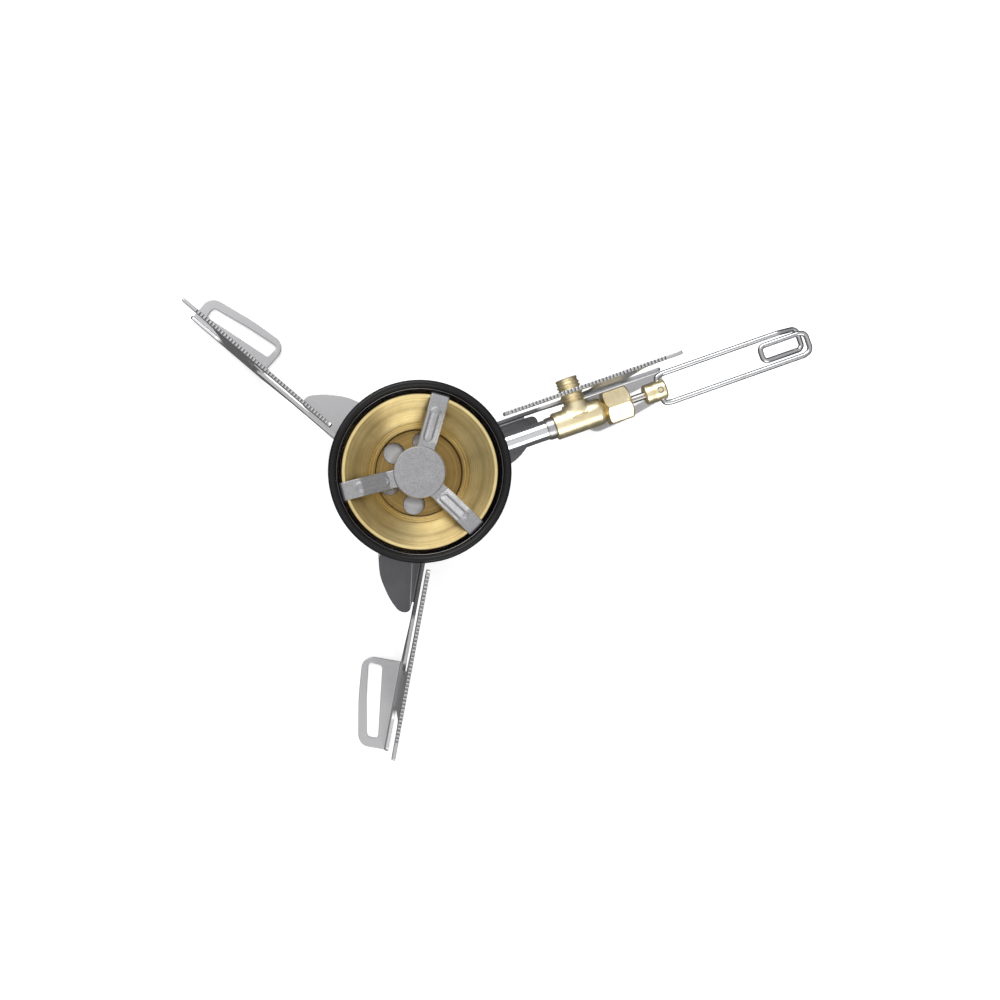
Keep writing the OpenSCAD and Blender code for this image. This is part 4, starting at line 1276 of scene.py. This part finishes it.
def add_camera():
    """The camera: a steep view from above, aimed so that the ring sits left of the middle."""
    away = Vector((math.sin(VIEW_TILT) * math.cos(VIEW_FROM),
                   math.sin(VIEW_TILT) * math.sin(VIEW_FROM), math.cos(VIEW_TILT)))
    up = Vector((math.cos(IMAGE_UP), math.sin(IMAGE_UP), 0.0))
    up = (up - up.dot(away) * away).normalized()
    back = (away - up.cross(away) * AIM_RIGHT - up * AIM_UP).normalized()
    right = up.cross(back).normalized()
    matrix = Matrix((right, back.cross(right), back)).transposed().to_4x4()
    matrix.translation = RING_TOP + VIEW_DISTANCE * away
    data = bpy.data.cameras.new("Camera")
    data.sensor_width, data.lens = SENSOR, LENS
    data.clip_start, data.clip_end = NEAREST, FARTHEST
    camera = bpy.data.objects.new("Camera", data)
    camera.matrix_world = matrix
    bpy.context.scene.collection.objects.link(camera)
    bpy.context.scene.camera = camera


def add_softbox(name, place, power):
    """A rectangular area light at a place, facing the burner."""
    data = bpy.data.lights.new(name, "AREA")
    data.shape = "RECTANGLE"
    data.size, data.size_y = SOFTBOX_SIZE
    data.energy = power
    lamp = bpy.data.objects.new(name, data)
    lamp.location = place
    aim = Vector(SOFTBOX_AIM) - Vector(place)
    lamp.rotation_euler = aim.to_track_quat("-Z", "Y").to_euler()
    bpy.context.scene.collection.objects.link(lamp)


def add_surroundings():
    """A studio round the object: bright overhead and dim at the horizon, but seen as white."""
    world = bpy.data.worlds.new("Studio")
    world.use_nodes = True
    tree = world.node_tree
    direction = add(tree, "ShaderNodeTexCoord").outputs["Generated"]
    apart = add(tree, "ShaderNodeSeparateXYZ", {"Vector": direction})
    ramp = add(tree, "ShaderNodeValToRGB", {"Fac": apart.outputs["Z"]})
    points = ramp.color_ramp.elements
    while len(points) < len(SKY):
        points.new(0.5)
    for point, (at, level) in zip(points, SKY):
        point.position = at
        point.color = (level, level, level, 1.0)
    seen = add(tree, "ShaderNodeLightPath").outputs["Is Camera Ray"]
    put(tree, tree.nodes["Background"], {
        "Color": mixed(tree, seen, ramp.outputs["Color"], BACKDROP), "Strength": 1.0})
    bpy.context.scene.world = world


def add_floor():
    """A plain pale floor under the feet."""
    mesh = bpy.data.meshes.new("floor")
    corners = [(x * FLOOR_HALF, y * FLOOR_HALF, -FLOOR_DROP)
               for x, y in ((-1, -1), (1, -1), (1, 1), (-1, 1))]
    mesh.from_pydata(corners, [], [(0, 1, 2, 3)])
    floor = bpy.data.objects.new("floor", mesh)
    bpy.context.scene.collection.objects.link(floor)
    paper = bpy.data.materials.new("Pale paper")
    paper.use_nodes = True
    tree = paper.node_tree
    place = add(tree, "ShaderNodeTexCoord").outputs["Object"]
    level = remap(tree, noise(tree, place, 900.0, 2.0), *NOISE_SPAN, 0.90, 0.93)
    grey = add(tree, "ShaderNodeCombineColor", {"Red": level, "Green": level, "Blue": level})
    put(tree, tree.nodes["Principled BSDF"], {
        "Base Color": grey.outputs["Color"], "Roughness": 0.9, "Specular IOR Level": 0.2,
        "Emission Color": WHITE, "Emission Strength": FLOOR_GLOW})
    mesh.materials.append(paper)
    floor.visible_glossy = False


class AddStage(bpy.types.Operator):
    """Add the floor, the studio, its lights and the camera"""
    bl_idname = "burner.add_stage"
    bl_label = "Stage"

    def execute(self, context):
        add_floor()
        add_surroundings()
        for name, place, power in SOFTBOXES:
            add_softbox(name, place, power)
        add_camera()
        context.scene.view_settings.view_transform = "Standard"
        return {"FINISHED"}


PIECE_OPERATORS = (MakeFinishes, AddRing, AddBell, AddCup, AddSpreader, AddFuelLine, AddHandle,
                   AddLegs, AddPad, FinishFrame, AddStage)


class BurnerPanel(bpy.types.Panel):
    """Lists the pieces and the values that change them"""
    bl_idname = "VIEW3D_PT_burner"
    bl_label = "Folding stove burner"
    bl_space_type = "VIEW_3D"
    bl_region_type = "UI"
    bl_category = "Burner"

    def draw(self, context):
        for values in settings():
            box = self.layout.box()
            for name in values.bl_rna.properties.keys():
                if name not in ("rna_type", "name"):
                    box.prop(values, name)
        for operator in PIECE_OPERATORS:
            self.layout.operator(operator.bl_idname)


CLASSES = (BurnerSizes, BurnerColours) + PIECE_OPERATORS + (BurnerPanel,)


def register():
    for cls in CLASSES:
        bpy.utils.register_class(cls)
    bpy.types.Scene.burner_sizes = PointerProperty(type=BurnerSizes)
    bpy.types.Scene.burner_colours = PointerProperty(type=BurnerColours)


def unregister():
    del bpy.types.Scene.burner_sizes
    del bpy.types.Scene.burner_colours
    for cls in reversed(CLASSES):
        bpy.utils.unregister_class(cls)


def main():
    """Registers the classes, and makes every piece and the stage."""
    register()
    for operator in PIECE_OPERATORS:
        family, name = operator.bl_idname.split(".")
        getattr(getattr(bpy.ops, family), name)()


if __name__ == "__main__":
    main()
